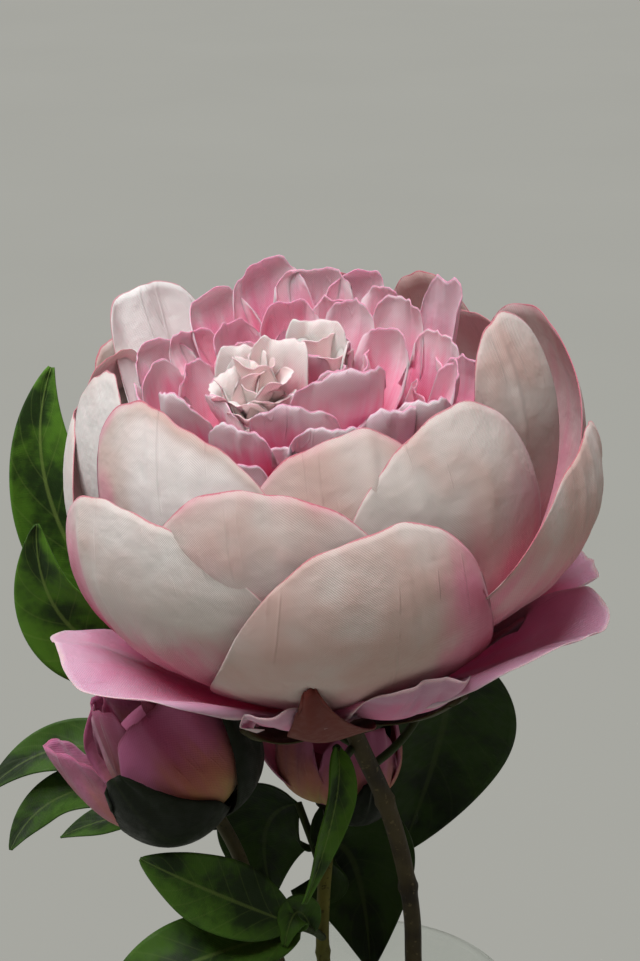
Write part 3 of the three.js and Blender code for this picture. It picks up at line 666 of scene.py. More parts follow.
def petal_surface(
    turn, line, width, bend, dome=0.3, skew=0.0, narrow=0.24, peak=0.62, taper=0.14, lean=0, root=(0, 0, 0),
    ragged=0.0, seed=0,
):
    """A petal's surface, as the frame's solids have it, with a rounder outline. line is its middle line as
    four (outward, upward) points, and turn is where it stands round the axis. dome is the share of its
    length that its rounded top takes, and skew lifts one side of that top over the other."""
    draw = random.Random(seed)
    waves = [(draw.uniform(*pace), draw.uniform(0, 6)) for pace in ((4, 9), (14, 24))]
    outs, ups = [p[0] for p in line], [p[1] for p in line]

    def surface(u, v):
        away = np.abs(v)
        torn = sum(np.sin(count * v + phase) / (k + 1) for k, (count, phase) in enumerate(waves))
        fallen = 1 - (1 - CORNER * away**ROUNDNESS) ** (1 / ROUNDNESS)
        reach = u * (1 - dome * fallen + skew * v + ragged * torn * u**2)
        rise = np.sin(np.minimum(u / peak, 1) * np.pi / 2)
        fall = np.where(u > peak, taper * ((u - peak) / (1 - peak)) ** 2, 0)
        aside = v * width * (narrow + (1 - narrow) * rise - fall) / 2
        out, up = bezier(outs, reach), bezier(ups, reach)
        d_out, d_up = bezier_slope(outs, reach), bezier_slope(ups, reach)
        size = np.hypot(d_out, d_up)
        depth = bend * (1 - np.cos(aside / bend))
        forward = out - depth * d_up / size
        side = bend * np.sin(aside / bend)
        height = up + depth * d_out / size
        angle = np.radians(turn + lean * reach)
        x = root[0] + forward * np.sin(angle) + side * np.cos(angle)
        y = root[1] - forward * np.cos(angle) + side * np.sin(angle)
        return np.stack([x, y, root[2] + height], axis=2)

    return surface


def eased(low, high, value):
    t = np.clip((value - low) / (high - low), 0, 1)
    return t * t * (3 - 2 * t)


def petal_relief(seed, ripple=0.8, pleats=2, pleat_depth=0.5, curl=0.0, proud=0.0, creases=()):
    """Pushes a petal out along its normal: waves that grow to the edge, a few soft pleats that run down from
    the tip, a rim that curls, and proud, which lays one petal over its neighbour. A crease runs from one
    (u, v) to another, and has its spread across and its depth."""
    draw = random.Random(seed)
    folds = [
        (draw.uniform(-0.8, 0.8), draw.uniform(0.07, 0.16), draw.uniform(-1, 1), draw.uniform(0.3, 0.6))
        for _ in range(pleats)
    ]
    phases = [draw.uniform(0, 6) for _ in range(4)]

    def relief(u, v):
        up = eased(0.2, 1.0, u)
        out = ripple * up * (0.6 * np.sin(3.4 * v + phases[0]) + 0.4 * np.sin(5.7 * v + 3 * u + phases[1]))
        out += 0.3 * ripple * np.sin(5 * u + 2.6 * v + phases[2]) * eased(0.1, 0.5, u)
        for middle, spread, depth, start in folds:
            drift = middle + 0.06 * np.sin(5 * u + phases[3])
            out += pleat_depth * depth * np.exp(-(((v - drift) / spread) ** 2)) * eased(start, 1.0, u)
        out += curl * (eased(0.82, 1.0, u) + eased(0.85, 1.0, np.abs(v)) * up)
        for (u_low, v_low), (u_high, v_high), spread, depth in creases:
            line = v_low + (v_high - v_low) * (u - u_low) / (u_high - u_low)
            ends = eased(u_low - 0.06, u_low + 0.06, u) * (1 - eased(u_high - 0.04, u_high + 0.06, u))
            out += depth * (1 - ((v - line) / spread) ** 2) * np.exp(-(((v - line) / spread) ** 2)) * ends
        return out + proud * eased(0.1, 0.5, u)

    return relief


def dye_and_painted_light(root=0.6, left=0.0, right=0.0, rim=0.15, depth=1.15, painted_light=0.0):
    """How deep a petal's dye goes: a dip at its root, up to that share of its length, a spray on its left
    and right sides, and a touch along its rim. The pink at the root and on the sides is partly the petal's
    own dye and partly painted shade, where a petal passes under its neighbours and on its shaded sides. The
    last amount whitens a petal where it has no dye: painted light on the petals that face the lamp."""

    def dye(u, v, edge):
        root_dye_and_shade = np.clip(depth * (1 - u / root), 0, None)
        on_left = left * eased(0.35, 0.95, -v) * (1 - eased(0.8, 1.0, u) * 0.6)
        on_right = right * eased(0.35, 0.95, v) * (1 - eased(0.8, 1.0, u) * 0.6)
        dye_and_shade = root_dye_and_shade + on_left + on_right + rim * np.exp(-edge / RIM_FADE)
        # Whitening where there is no dye: painted light on the petals that face the lamp.
        return dye_and_shade - painted_light * (1 - eased(0.0, 0.4, dye_and_shade))

    return dye


def woven_silk_effect():
    """Colour and weave of a cloth petal: a dye that runs into the cloth in streaks, whose amount also holds
    painted shade, as deep pink, and painted light, as near-white; a coloured and slightly frayed edge, soft
    dents, a few sharp creases and the fine plain weave."""
    colours = ("Body", "Shade", "Tint", "Deep", "Edge")
    tree, given, result = new_effect("woven silk", colours, ("Edge width", "Edge strength"))
    vat = Mixer(tree)
    along, across, tone, dyed_and_shaded = [vat.mark(name) for name in ("along", "across", "tone", "dye")]
    place = vat.place()

    def along_the_cloth(across_scale, along_scale, shift):
        aside, onward = vat.times(across, across_scale), vat.times(along, along_scale)
        return vat.add("CombineXYZ", {0: aside, 1: onward, 2: vat.times(tone, shift)}).outputs[0]

    streaks = vat.noise(along_the_cloth(5.0, 1.0, 37.0), 1.0, 4.0)
    blotches = vat.noise(place, 60.0, 2.0)
    shade_share = vat.ramp(vat.plus(blotches, vat.times(tone, 0.25)), 0.45, 0.85)
    patched = vat.blend(shade_share, given["Body"], given["Shade"])
    # Below zero the dye amount turns the body toward near-white: painted light on the cup petals that face
    # the lamp, and the guards' own pale rims.
    plain = vat.blend(vat.ramp(dyed_and_shaded, -1.0, 0.0, 0.8, 0.0), patched, paint("fffdfb"))
    uneven = vat.plus(vat.times(vat.minus(streaks, 0.5), 0.75), vat.times(vat.minus(blotches, 0.5), 0.5))
    dye = vat.plus(dyed_and_shaded, vat.times(uneven, vat.ramp(dyed_and_shaded, 0.0, 0.35)))
    tinted = vat.blend(vat.ramp(dye, 0.04, 0.75), plain, given["Tint"])
    deepened = vat.blend(vat.ramp(dye, 0.6, 1.25), tinted, given["Deep"])
    gaps = vat.noise(place, 160.0, 1.0)
    thread_line = vat.times(given["Edge width"], vat.ramp(gaps, 0.35, 0.6, 0.25, 1.0))
    fray = vat.times(vat.minus(vat.noise(place, 1100.0, 2.0), 0.5), thread_line)
    rim_share = vat.minus(1.0, vat.calc("DIVIDE", vat.plus(vat.mark("edge"), fray), thread_line))
    edged = vat.times(vat.ramp(rim_share, 0.0, 0.7), given["Edge strength"])
    rimmed = vat.blend(edged, deepened, given["Edge"])
    weave = vat.weave(SILK_THREADS)
    grain = vat.ramp(weave, -1.0, 1.0, 0.88, 1.0)
    vat.feed(vat.blend(1.0, rimmed, grain, "MULTIPLY"), result["Colour"])
    vat.feed(vat.ramp(streaks, 0.3, 0.7, 0.72, 0.9), result["Roughness"])

    folds = vat.calc("ABSOLUTE", vat.minus(vat.noise(along_the_cloth(3.2, 0.9, 91.0), 1.0, 1.0), 0.5))
    creased = vat.times(vat.ramp(folds, 0.0, 0.02, 1.0, 0.0), vat.ramp(blotches, 0.5, 0.62))
    creased = vat.times(creased, vat.ramp(along, 0.35, 0.8))
    height = vat.plus(vat.times(vat.noise(place, 120.0, 3.0), 1.2), vat.times(creased, 0.2))
    height = vat.plus(height, vat.times(weave, 0.04))
    vat.feed(vat.bump(height, 0.6, 0.0016), result["Normal"])
    return tree


silk = woven_silk_effect()


def silk_finish(name, body, shade, tint, deep, edge, edge_width=0.6, edge_strength=0.7, glow=0.2):
    made, shader = new_finish(
        name, roughness=0.8, Specular_IOR_Level=0.25, Sheen_Weight=0.2, Sheen_Roughness=0.5,
        Subsurface_Weight=glow, Subsurface_Radius=(1.0, 0.5, 0.6), Subsurface_Scale=0.0015,
    )
    given = {"Body": paint(body), "Shade": paint(shade), "Tint": paint(tint), "Deep": paint(deep)}
    given.update({"Edge": paint(edge), "Edge width": edge_width, "Edge strength": edge_strength})
    return use_effect(made, shader, silk, given)


# Cup petals: the large outer petals of the bloom, broad and cupped, which overlap like the leaves of a
# cabbage and close over the ruffle. They are glued to a solid core.
PETAL_THICKNESS = 0.2
CUP_ROOT = (8, -51)
CUP_HIP = (30, -45)
LAYER_INSET = 1.5
LAYER_LIFT = 0.6
CUP_BEND = 58
# The pink at each cup petal's root and on its sides is partly painted shade, where it passes under its
# neighbours and on its shaded sides. The petals on the lamp's side, the left, are whitened as painted light.
CUP = [
    dict(turn=3, tip=(60, 8), belly=(75, -27), width=64, layer=0, lean=6, dome=0.28, skew=0.05, proud=2.8,
        dye=dict(root=0.7, right=0.9),
        creases=[
            ((0.8, 0.16), (1.0, 0.14), 0.035, 0.25), ((0.7, 0.36), (1.02, 0.3), 0.03, 0.35),
            ((0.62, 0.5), (0.95, 0.4), 0.035, 0.25), ((0.82, 0.55), (1.02, 0.5), 0.03, 0.22),
            ((0.8, 0.68), (1.02, 0.62), 0.03, 0.2),
        ]),
    dict(turn=-36, tip=(60, 15), belly=(74, -25), width=74, layer=0, lean=-2, dome=0.28, skew=-0.06,
        dye=dict(root=1.0, left=1.0, right=0.2, painted_light=0.5),
        creases=[
            ((0.45, -0.3), (0.95, -0.55), 0.07, 0.7), ((0.4, -0.16), (0.85, -0.38), 0.06, 0.6),
            ((0.3, 0.1), (0.7, -0.1), 0.12, 0.8), ((0.35, -0.62), (0.9, -0.78), 0.08, 0.6),
        ]),
    dict(turn=47, tip=(67, 12), belly=(78, -24), width=66, layer=0, lean=18, dome=0.3, skew=0.06, rise=8,
        dye=dict(root=0.95, left=0.45),
        creases=[
            ((0.55, 0.1), (0.95, -0.1), 0.06, 0.7), ((0.5, 0.3), (0.98, 0.1), 0.05, 0.6),
            ((0.6, 0.5), (1.0, 0.32), 0.05, 0.5), ((0.45, -0.35), (0.8, -0.5), 0.1, 0.5),
        ]),
    dict(turn=-10, tip=(58, 20), belly=(75, -20), width=68, layer=1, dome=0.3, skew=-0.02,
        dye=dict(root=1.0, rim=0.3),
        creases=[((0.5, 0.05), (0.95, 0.2), 0.1, 0.5)]),
    dict(turn=28, tip=(51, 26), belly=(76, -14), width=68, layer=2, lean=4, dome=0.34, skew=0.06, proud=0.6,
        dye=dict(root=0.92, right=0.45),
        creases=[
            ((0.5, -0.05), (0.95, -0.25), 0.09, 0.7), ((0.5, 0.42), (0.62, 0.3), 0.14, -1.0),
            ((0.55, 0.2), (0.9, 0.35), 0.1, 0.4),
        ]),
    dict(turn=-21, tip=(50, 32), belly=(72, -12), width=50, layer=3, lean=-8, dome=0.16, skew=-0.08,
        peak=0.95, taper=0, proud=1.0, dye=dict(root=0.35, left=0.45, rim=0.35, painted_light=0.7),
        creases=[
            ((0.6, -0.35), (1.0, -0.3), 0.1, 0.6), ((0.55, 0.1), (0.95, 0.05), 0.1, 0.6),
            ((0.5, 0.45), (0.9, 0.3), 0.1, 0.5),
        ]),
    dict(turn=6, tip=(50, 27), belly=(74, -14), width=60, layer=3, dome=0.34, skew=0.04,
        dye=dict(root=0.8, rim=0.3),
        creases=[((0.6, 0.2), (1.0, 0.35), 0.08, 0.5)]),
    dict(turn=-62, tip=(48, 39), belly=(71, -9), width=42, layer=4, lean=-2, dome=0.34, skew=0.04,
        dye=dict(root=0.35, painted_light=0.6)),
    dict(turn=42, tip=(40, 40), belly=(62, 5), width=39, layer=5, lean=4, dome=0.5, skew=0.04,
        root=(15, 8, 0), proud=0.4, dye=dict(root=0.75, left=0.4),
        creases=[((0.5, 0.1), (0.95, 0.0), 0.08, 0.5)]),
    dict(turn=104, tip=(61, 30), belly=(80, -14), width=84, layer=1, dome=0.25, skew=0.04,
        dye=dict(root=1.2, rim=0.2)),
    dict(turn=142, tip=(50, 38), belly=(72, -10), width=42, layer=1, dome=0.45, dye=dict(root=0.9)),
    dict(turn=-176, tip=(49, 38), belly=(77, -14), width=58, layer=2, dye=dict(root=1.3)),
    # The left back petal is whitened most, as painted light where it catches the lamp.
    dict(turn=-136, tip=(56, 43), belly=(50, 20), width=44, layer=4, dome=0.5,
        dye=dict(root=0.3, painted_light=1.6),
        creases=[((0.55, -0.35), (1.0, -0.25), 0.22, 2.0), ((0.55, 0.3), (1.0, 0.4), 0.2, 1.6)]),
    dict(turn=-116, tip=(51, 31), belly=(69, -8), width=44, layer=4, dye=dict(root=0.35, painted_light=0.4)),
    dict(turn=120, tip=(47, 31), belly=(72, 0), width=42, layer=4, dye=dict(root=1.0)),
    dict(turn=172, tip=(45, 40), belly=(72, 0), width=40, layer=4, dye=dict(root=1.2)),
    dict(turn=-124, tip=(57, 32), belly=(54, 8), width=32, layer=4, dye=dict(root=0.8)),
    dict(turn=-88, tip=(53, 25), belly=(74, -16), width=56, layer=1, proud=0.6,
        dye=dict(root=0.5, painted_light=0.4)),
]
FRONT_PETALS = 9
FINE_ROWS = 62
PLAIN_ROWS = 36
CUP_CORE = [(0, -53), (9, -52), (22, -45), (32, -39), (41, -32), (44, -26), (42, -20), (0, -18)]


def cup_petal(number, turn, tip, belly, width, layer, dye, proud=0.0, rise=0.0, creases=(), **shape):
    hip = (CUP_HIP[0] - LAYER_INSET * layer, CUP_HIP[1] + LAYER_LIFT * layer + rise)
    line = (CUP_ROOT, hip, belly, tip)
    surface = petal_surface(turn, line, width, CUP_BEND, ragged=0.003, seed=number, **shape)
    relief = petal_relief(number, ripple=0.8, pleats=1, pleat_depth=0.35, proud=proud, creases=creases)
    tone = random.Random(number).random()
    rows = FINE_ROWS if number < FRONT_PETALS else PLAIN_ROWS
    return cut_cloth(f"cup_{number}", rows, rows, surface, relief, on_bloom, tone, dye_and_painted_light(**dye))


def moved(piece, place):
    """Moves the points of a spun solid, which are made in the bloom's or a bud's own frame, into place."""
    points = np.empty(len(piece.data.vertices) * 3)
    piece.data.vertices.foreach_get("co", points)
    piece.data.vertices.foreach_set("co", (place(points.reshape(-1, 3) / MM) * MM).ravel())
    piece.data.update()
    return piece


cup_cloths = [cup_petal(i, **petal) for i, petal in enumerate(CUP)]
cup_core = moved(spun("cup_core", CUP_CORE, sides=32), on_bloom)
cup = sewn("cup_petals", cup_cloths, PETAL_THICKNESS, [cup_core])
blush_silk = silk_finish("blush_silk", "d6c9c2", "ceafa5", "dc889e", "b82a5a", "bc3c5a", edge_width=0.55)
place_piece(cup, blush_silk, "petal_blush", "bloom_cup_petals")


# Guard petals: the lowest ring, larger and thinner, which bends out and down from under the cup. They are
# magenta at the root and pale at the rolled rim.
GUARD_ROOT = (7, -56.4)
GUARD_HIP = (24, -52)
GUARD_REACH = 0.7
GUARD_SAG = 8
GUARD_BEND = 70
GUARD_ROWS = 40
GUARD_SEED = 40
GUARDS = [
    # The first guard, on the right, has less deep dye than the others, which paints it lighter where it lies
    # in the cup's shade.
    dict(turn=46, tip=(68, -29), width=58, lean=14, drop=1.4, deep=0.55),
    dict(turn=-50, tip=(69, -25), width=66, lean=-14, drop=1.4),
    dict(turn=17, tip=(58, -28), width=34, lean=4, bend=24, belly=(53, -44)),
    dict(turn=-14, tip=(56, -31), width=22, bend=16, belly=(51, -45)),
    dict(turn=108, tip=(66, -32), width=48),
    dict(turn=160, tip=(64, -34), width=48, drop=1.4),
    dict(turn=-147, tip=(65, -34), width=48),
    dict(turn=-102, tip=(56, -38), width=36, drop=2.8),
]


def guard_petal(number, turn, tip, width, lean=0, drop=0, bend=GUARD_BEND, belly=None, deep=1.5):
    hip = (GUARD_HIP[0], GUARD_HIP[1] - drop)
    belly = belly or (tip[0] * GUARD_REACH, tip[1] - GUARD_SAG - drop)
    line = (GUARD_ROOT, hip, belly, tip)
    seed = GUARD_SEED + number
    surface = petal_surface(
        turn, line, width, bend, dome=0.4, narrow=0.18, lean=lean, ragged=0.006, seed=seed
    )
    relief = petal_relief(seed, ripple=2.4, pleats=3, pleat_depth=1.3, curl=1.6)
    tone = random.Random(number).random()
    dye = dye_and_painted_light(root=1.05, depth=deep, rim=-0.4)
    return cut_cloth(f"guard_{number}", GUARD_ROWS, GUARD_ROWS, surface, relief, on_bloom, tone, dye)


guard_cloths = [guard_petal(i, **petal) for i, petal in enumerate(GUARDS)]
guards = sewn("guard_petals", guard_cloths, PETAL_THICKNESS)
rose_silk = silk_finish(
    "rose_silk", "cc9cb2", "c28ca6", "e4709a", "e04c7c", "dcb8b4",
    edge_width=1.4, edge_strength=0.6, glow=0.6,
)
place_piece(guards, rose_silk, "petal_rose", "bloom_guard_petals")


# Calyx: seven pointed sepals of green-brown cloth on a small moulded cup, which hold the guard petals from
# below. The front one shows a brown-red back.
SEPAL_ROOT = (3, -61)
SEPAL_HIP = (16, -59.6)
SEPAL_REACH = 0.84
SEPAL_SAG = 8
SEPAL_BEND = 30
SEPAL_ROWS = 28
SEPAL_COLUMNS = 14
SEPAL_SEED = 70
SEPALS = [
    dict(turn=-4, tip=(60, -25), width=20, blush=1.0, belly=(55, -47)),
    dict(turn=46, tip=(41, -46), width=13),
    dict(turn=98, tip=(38, -51), width=16),
    dict(turn=150, tip=(38, -51), width=16),
    dict(turn=-158, tip=(38, -51), width=16),
    dict(turn=-100, tip=(32, -52), width=15),
    dict(turn=-48, tip=(32, -52), width=14),
]
SEPAL_HUB = [(0, -61.7), (3.2, -61.7), (9, -62.2), (14, -60.9), (14.5, -59), (9, -60), (0, -60.4)]


def sepal(number, turn, tip, width, blush=0.25, belly=None):
    line = (SEPAL_ROOT, SEPAL_HIP, belly or (tip[0] * SEPAL_REACH, tip[1] - SEPAL_SAG), tip)
    surface = petal_surface(turn, line, width, SEPAL_BEND, dome=0.08, narrow=0.5, peak=0.5, taper=0.8)
    relief = petal_relief(SEPAL_SEED + number, ripple=0.8, pleats=4, pleat_depth=1.1)

    def blushed(u, v, edge):
        return np.full(u.shape, blush)

    return cut_cloth(f"sepal_{number}", SEPAL_ROWS, SEPAL_COLUMNS, surface, relief, on_bloom, dye=blushed)


sepal_cloths = [sepal(i, **shape) for i, shape in enumerate(SEPALS)]
sepal_hub = moved(spun("sepal_hub", SEPAL_HUB, sides=24), on_bloom)
calyx = sewn("calyx", sepal_cloths, LEAF_THICKNESS, [sepal_hub])
sepal_cloth = leaf_finish("sepal_cloth", "26331a", "3c4c26", "55602f", "6a2e26")
place_piece(calyx, sepal_cloth, "sepal_brown", "bloom_calyx")


# Ruffle: the inner petals, many and small, bright pink and crimped, which stand in crowded rings on a low
# core inside the cup. The whole ruffle leans a little to the viewer.
RUFFLE_LEAN = turned_about("Y", 5) @ turned_about("X", 11)
RUFFLE_ROWS = 24
RUFFLE_COLUMNS = 22
RUFFLE_SEED = 200
RUFFLE_DYE = 0.55
RUFFLE_FILL_SEED = 21
RUFFLE_FILL_TALL = 22
CROWDED_BEHIND = 35
RUFFLE_CORE = [(0, -16), (34, -16), (40, 0), (34, 9), (22, 14), (0, 16)]
# Each petal: where it stands round the axis and how far from it, how high its top is, how tall and wide it
# is, how tightly it is bent, how far it opens, how deep its dye goes, and how far it is spun on its root.
# The low petals in front have the deepest dye, partly painted shade deep in the ruffle.
RUFFLE_FRONT = [
    (-164, 27, 41, 26, 25, 12, 11, 0.75),
    (178, 27, 39, 26, 23, 12, 10, 0.7),
    (160, 27, 38, 26, 21, 12, 10, 0.5),
    (-140, 26, 37, 24, 24, 12, 11, 0.85),
    (-104, 32, 31, 22, 20, 11, 9, 0.7, -45),
    (-118, 25, 32, 22, 19, 10, 9, 0.8, -25),
    (-92, 26, 31, 20, 12, 9, 3, 0.0, -60),
    (-62, 30, 35, 26, 22, 13, 6, 0.8, 20),
    (-84, 31, 33, 24, 20, 12, 6, 0.8, -30),
    (-8, 21, 36, 26, 24, 13, 7, 0.75),
    (22, 16, 41, 30, 30, 14, 7, 0.6),
    (-30, 27, 32, 24, 20, 13, 6, 1.0),
    (34, 27, 36, 28, 20, 11, 8, 0.3, -14),
    (50, 29, 36, 28, 21, 11, 8, 0.25, -30),
    (8, 26, 33, 26, 22, 13, 6, 0.7),
    (66, 31, 36, 24, 14, 8, 4, 0.6, 40),
    (142, 11, 41, 26, 17, 9, 6, 0.35),
    (84, 14, 39, 26, 19, 10, 6, 0.6, 50),
    (119, 22, 40, 26, 17, 9, 6, 0.05, 40),
    (143, 25, 38, 24, 15, 8, 8, 0.7, 10),
    (114, 32, 45, 32, 17, 9, 4, 0.05, 10),
    (96, 28, 35, 24, 17, 9, 5, 0.9, 45),
    (80, 33, 34, 24, 15, 9, 4, 0.8, 50),
    (-128, 18, 35, 22, 21, 11, 7, 0.75),
    (-166, 17, 36, 22, 21, 11, 7, 0.85),
    (165, 20, 35, 22, 20, 11, 7, 0.9),
    (0, -4, 34, 18, 15, 7, 4, 0.8),
    (38, 5, 34, 18, 16, 8, 4, 0.8),
    (-12, 9, 31, 16, 16, 8, 4, 0.9),
    (128, 5, 35, 19, 15, 8, 4, 0.7),
    (84, 9, 34, 18, 16, 8, 4, 0.8),
    (20, 11, 31, 16, 15, 8, 4, 0.9),
    (-60, 20, 30, 16, 16, 9, 4, 0.9),
]
RUFFLE_FILL = [
    dict(count=15, away=36, top=26, width=20, dye=0.95),
    dict(count=12, away=28, top=27, width=19, dye=1.1),
    dict(count=9, away=20, top=28, width=18, dye=1.1),
]


def on_ruffle(points):
    return on_bloom(points @ RUFFLE_LEAN.T)


def ruffle_petal(number, turn, away, top, tall, width, bend, out, dye, spin=0):
    """A rounded, cupped petal that stands away from the axis of the ruffle and opens outward."""
    angle = math.radians(turn)
    line = ((0, 0), (out * 0.4, tall * 0.35), (out * 1.5, tall * 0.75), (out, tall))
    root = (away * math.sin(angle), -away * math.cos(angle), top - tall)
    surface = petal_surface(
        turn + spin, line, width, bend, dome=0.5, narrow=0.4, peak=0.72, taper=0.08, root=root, ragged=0.026,
        seed=number,
    )
    relief = petal_relief(RUFFLE_SEED + number, ripple=1.3, pleats=4, pleat_depth=1.0, curl=0.3)
    colour = dye_and_painted_light(root=0.95, rim=-0.05, depth=RUFFLE_DYE + dye)
    tone = random.Random(number).random()
    name = f"ruffle_{number}"
    return cut_cloth(name, RUFFLE_ROWS, RUFFLE_COLUMNS, surface, relief, on_ruffle, tone, colour)


draw = random.Random(RUFFLE_FILL_SEED)
ruffle_shapes = list(RUFFLE_FRONT)
for ring in RUFFLE_FILL:
    for i in range(ring["count"]):
        turn = 360 * (i + 0.5) / ring["count"] + draw.uniform(-6, 6)
        ruffle_shapes.append((
            turn + CROWDED_BEHIND * math.sin(math.radians(turn)), ring["away"] + draw.uniform(-2, 1.5),
            ring["top"] + draw.uniform(-3, 2), RUFFLE_FILL_TALL, ring["width"] * draw.uniform(0.85, 1.15),
            draw.uniform(9, 14), draw.uniform(1, 4), ring["dye"], draw.uniform(-15, 15),
        ))
ruffle_core = moved(spun("ruffle_core", RUFFLE_CORE, sides=32), on_ruffle)
ruffle_cloths = [ruffle_petal(i, *shape) for i, shape in enumerate(ruffle_shapes)]
ruffle = sewn("ruffle_petals", ruffle_cloths, PETAL_THICKNESS, [ruffle_core])
pink_silk = silk_finish(
    "pink_silk", "ffe4ea", "ffccda", "ff96b4", "ee4874", "f28cae",
    edge_width=0.4, edge_strength=0.8, glow=0.6,
)
place_piece(ruffle, pink_silk, "petal_pink", "bloom_ruffle_petals")


# Heart: two tufts of small cream petals, creased and half open, left of the middle of the ruffle. Those in
# front of the larger tuft fall open towards the viewer.
# Each petal: its tip and how high that is, which way it turns, its width, how tightly it is bent, how far
# it opens, and how deep its dye goes. The lowest petals in front have the deepest dye, partly painted
# shade under the heart.
HEART = [
    ((-15, 2), 36, 170, 15, 8, 5, 0.3),
    ((-11, 1), 35, -150, 15, 8, 4, 0.4),
    ((-6, 1), 38, 165, 18, 9, 6, 0.9),
    ((-20, -5), 33, -120, 15, 8, 6, 0.6),
    ((-23, -8), 30, -90, 15, 8, 8, 0.6),
    ((-15, -7), 36, -40, 15, 8, 3, 0.4),
    ((-10, -8), 35, 50, 15, 8, 4, 0.5),
    ((-13, -4), 35, 130, 14, 8, 3, 0.4),
    ((-5, -11), 34, 70, 15, 8, 7, 0.6),
    ((-12, -13), 32, -12, 14, 8, 5, 0.5),
    ((-18, -14), 30, -45, 15, 8, 7, 0.6),
    ((-7, -14), 30, 30, 15, 8, 7, 0.6),
    ((-13, -18), 28, -4, 16, 9, 6, 0.8),
    ((-17, -19), 25, -30, 13, 9, 5, 1.0),
    ((-9, -19), 25, 20, 13, 9, 5, 1.0),
    ((2, 8), 39, 172, 19, 9, 5, 0.2),
    ((8, 5), 36, 120, 15, 9, 5, 0.2),
    ((-3, 5), 36, -140, 15, 9, 4, 0.3),
    ((3, 3), 37, 30, 15, 9, 1, 0.3),
    ((6, -1), 34, 20, 15, 8, 4, 0.3),
]
HEART_FLOOR = 14
HEART_ROWS = 26
HEART_COLUMNS = 24
HEART_SEED = 300
HEART_MIDDLE = np.array([-6, -2, 0])
HEART_CORE = [(0, 12), (15, 12), (15, 17), (10, 20), (0, 21)]


def heart_petal(number, tip, top, turn, width, bend, out, dye):
    angle = math.radians(turn)
    tall = top - HEART_FLOOR
    seed = HEART_SEED + number
    draw = random.Random(seed)
    creases = []
    for middle in (draw.uniform(-0.6, -0.1), draw.uniform(0.1, 0.6)):
        high = (1.02, middle * draw.uniform(0.7, 1.4))
        creases.append(((0.35, middle), high, draw.uniform(0.2, 0.34), draw.uniform(0.4, 0.9)))
    line = ((0, 0), (out * 0.15, tall * 0.45), (out * 0.5, tall * 0.95), (out, tall))
    root = (tip[0] - out * math.sin(angle), tip[1] + out * math.cos(angle), HEART_FLOOR)
    surface = petal_surface(
        turn, line, width, bend, dome=0.45, narrow=0.45, root=root, ragged=0.03, seed=seed
    )
    relief = petal_relief(seed, ripple=0.5, pleats=0, curl=0.1, creases=creases)
    colour = dye_and_painted_light(0.8, rim=0.1, depth=dye)
    name, tone = f"heart_{number}", draw.random()
    return cut_cloth(name, HEART_ROWS, HEART_COLUMNS, surface, relief, on_ruffle, tone, colour)


heart_cloths = [heart_petal(i, *shape) for i, shape in enumerate(HEART)]
heart_core = moved(spun("heart_core", HEART_CORE, sides=24), lambda p: on_ruffle(p + HEART_MIDDLE))
heart = sewn("heart_petals", heart_cloths, PETAL_THICKNESS, [heart_core])
cream_silk = silk_finish(
    "cream_silk", "fff2ee", "ffdfdc", "ffacba", "f48aa2", "f0bcc2", edge_width=0.4, glow=0.6
)
place_piece(heart, cream_silk, "petal_cream", "bloom_heart_petals")


# Buds: rolled magenta petals round a padded core, held by dark sepals. The left bud is closed but for one
# petal that stands off, and the rear one has opened on one side, with one petal flung out.
OUTER_LINE = ((2, 3.4), (24, 3.6), (26, 22))
OUTER_BEND = 17
BUD_OUTER = [
    dict(turn=24, tip=(13, 36), width=36),
    dict(turn=116, tip=(12, 39), width=36),
    dict(turn=207, tip=(12, 38), width=36),
    dict(turn=292, tip=(21, 39), width=38),
]
INNER_LINE = ((1, 4.5), (18, 6), (19, 26))
INNER_BEND = 13
BUD_INNER = [
    dict(turn=70, tip=(7, 40), width=26),
    dict(turn=190, tip=(6, 41), width=26),
    dict(turn=310, tip=(8, 41), width=26),
]
FLUNG = dict(turn=-92, line=((2, 3), (16, 5), (24, 12), (27, 32)), width=22, bend=18)
BUD_CORE = [(0, 2), (4, 2.4), (12, 6), (15, 14), (13, 24), (8, 31), (0, 33)]
BUD_ROWS = 30
FLUNG_COLUMNS = 26
BUD_SEPAL_ROWS = 26
BUD_SEPAL_COLUMNS = 18
BUD_SEED = 500
FLUNG_SEED = 590
BUD_SEPAL_SEED = 600
BUD_SEPAL_BEND = 18
BUD_SEPAL_TONE = 0.15
FLUNG_TONE = 0.7
BUD_HUB = [(0, 0.3), (2.6, 0.3), (5, 1), (4, 2.2), (0, 2.3)]
BUDS = [
    dict(name="bud", seat=(-41, 6, 231.5), axis=(-20, 0, 31), scale=1.04, flung=False,
        sepals=[
            dict(turn=-18, tip=(24, 31), width=32),
            dict(turn=66, tip=(23.5, 33), width=17),
            dict(turn=160, tip=(23, 24), width=16),
            dict(turn=248, tip=(22.5, 17), width=15),
        ]),
    dict(name="rear_bud", seat=(-10.4, 30, 219), axis=(5, 3, 40), scale=0.78, flung=True,
        sepals=[dict(turn=24, tip=(18.4, 16), width=16), dict(turn=178, tip=(18.4, 19), width=15)]),
]
# The bud silk's body and shade paints are darker than the buds' own pink-lilac: painted shade from the bloom
# above them.
magenta_silk = silk_finish(
    "magenta_silk", "c07098", "97566c", "b87462", "c0a05c", "a8506f", edge_width=0.8, edge_strength=0.5
)
green_sepal_cloth = leaf_finish("green_sepal_cloth", "10190a", "1f2b12", "36421f", "4a2a1c")


def rolled(petal, line, bend):
    """The shape of one petal of a bud, whose middle line ends at its own tip."""
    return dict(turn=petal["turn"], line=(*line, petal["tip"]), width=petal["width"], bend=bend)


def set_bud(seat, axis):
    turn = np.array(Vector((0, 0, 1)).rotation_difference(Vector(axis)).to_matrix())
    return lambda points: points @ turn.T + np.array(seat)


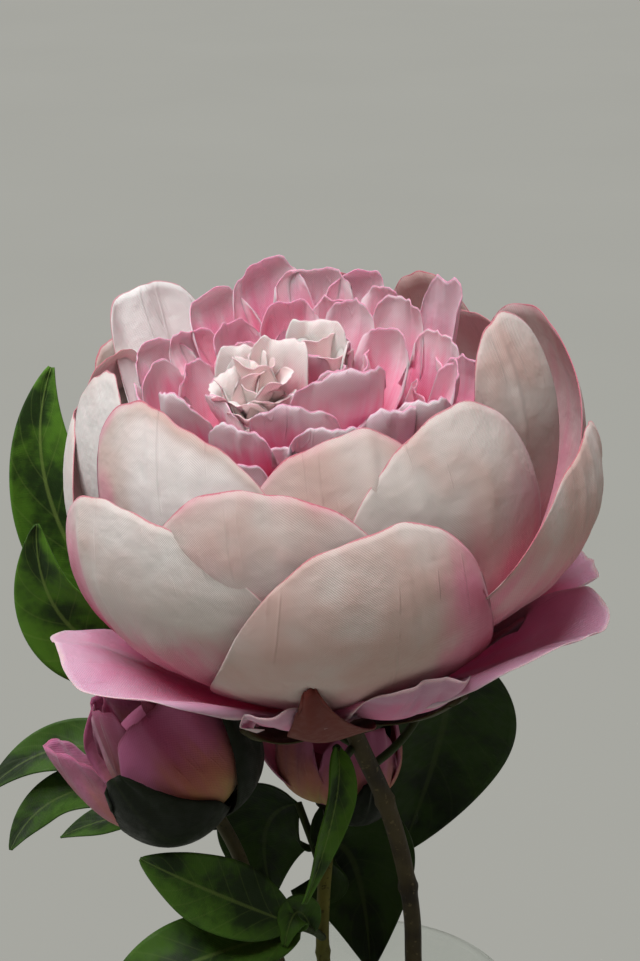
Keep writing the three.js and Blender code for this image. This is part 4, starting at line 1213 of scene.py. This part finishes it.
for k, bud in enumerate(BUDS):
    on_stem = set_bud(bud["seat"], bud["axis"])
    size = bud["scale"]
    shapes = [rolled(petal, OUTER_LINE, OUTER_BEND) for petal in BUD_OUTER]
    if not bud["flung"]:
        shapes += [rolled(petal, INNER_LINE, INNER_BEND) for petal in BUD_INNER]
    cloths = []
    for i, shape in enumerate(shapes):
        seed = BUD_SEED + 10 * k + i
        surface = petal_surface(**shape, ragged=0.01, seed=seed)
        relief = petal_relief(seed, ripple=1.0, pleats=5, pleat_depth=1.4, curl=0.7, proud=0.4 * (i % 3))
        cloth = cut_cloth(
            f"{bud['name']}_{i}", BUD_ROWS, BUD_ROWS, surface, relief, lambda p: on_stem(p * size),
            i / len(shapes), dye_and_painted_light(root=1.0, rim=0.0, depth=1.3),
        )
        cloths.append(cloth)
    if bud["flung"]:
        surface = petal_surface(**FLUNG, ragged=0.01, seed=FLUNG_SEED)
        relief = petal_relief(FLUNG_SEED, ripple=0.6, pleats=3, pleat_depth=0.6, curl=0.8)
        dye = dye_and_painted_light(0.5, rim=0.0)
        cloth = cut_cloth("flung", BUD_ROWS, FLUNG_COLUMNS, surface, relief, on_stem, FLUNG_TONE, dye)
        cloths.append(cloth)
    core = moved(spun("bud_core", BUD_CORE, sides=28), lambda p: on_stem(p * size))
    petals = sewn(bud["name"] + "_rolled_petals", cloths, PETAL_THICKNESS, [core])
    place_piece(petals, magenta_silk, "bud_magenta", bud["name"] + "_petals")
    sepal_pieces = []
    for i, shape in enumerate(bud["sepals"]):
        tip = shape["tip"]
        line = ((1.5, 0.6), (tip[0] * 0.8, -2.6), (tip[0] * 1.16, tip[1] * 0.36))
        pressed_on = rolled(shape, line, BUD_SEPAL_BEND)
        surface = petal_surface(**pressed_on, dome=0.12, narrow=0.5, peak=0.5, taper=0.7)
        relief = petal_relief(BUD_SEPAL_SEED + 10 * k + i, ripple=0.6, pleats=4, pleat_depth=0.7)
        name = f"{bud['name']}_sepal_{i}"
        cloth = cut_cloth(name, BUD_SEPAL_ROWS, BUD_SEPAL_COLUMNS, surface, relief, on_stem, BUD_SEPAL_TONE)
        sepal_pieces.append(cloth)
    hub = moved(spun("bud_hub", BUD_HUB, sides=20), on_stem)
    held = sewn(bud["name"] + "_sepals", sepal_pieces, LEAF_THICKNESS, [hub])
    place_piece(held, green_sepal_cloth, "sepal_green", bud["name"] + "_calyx")
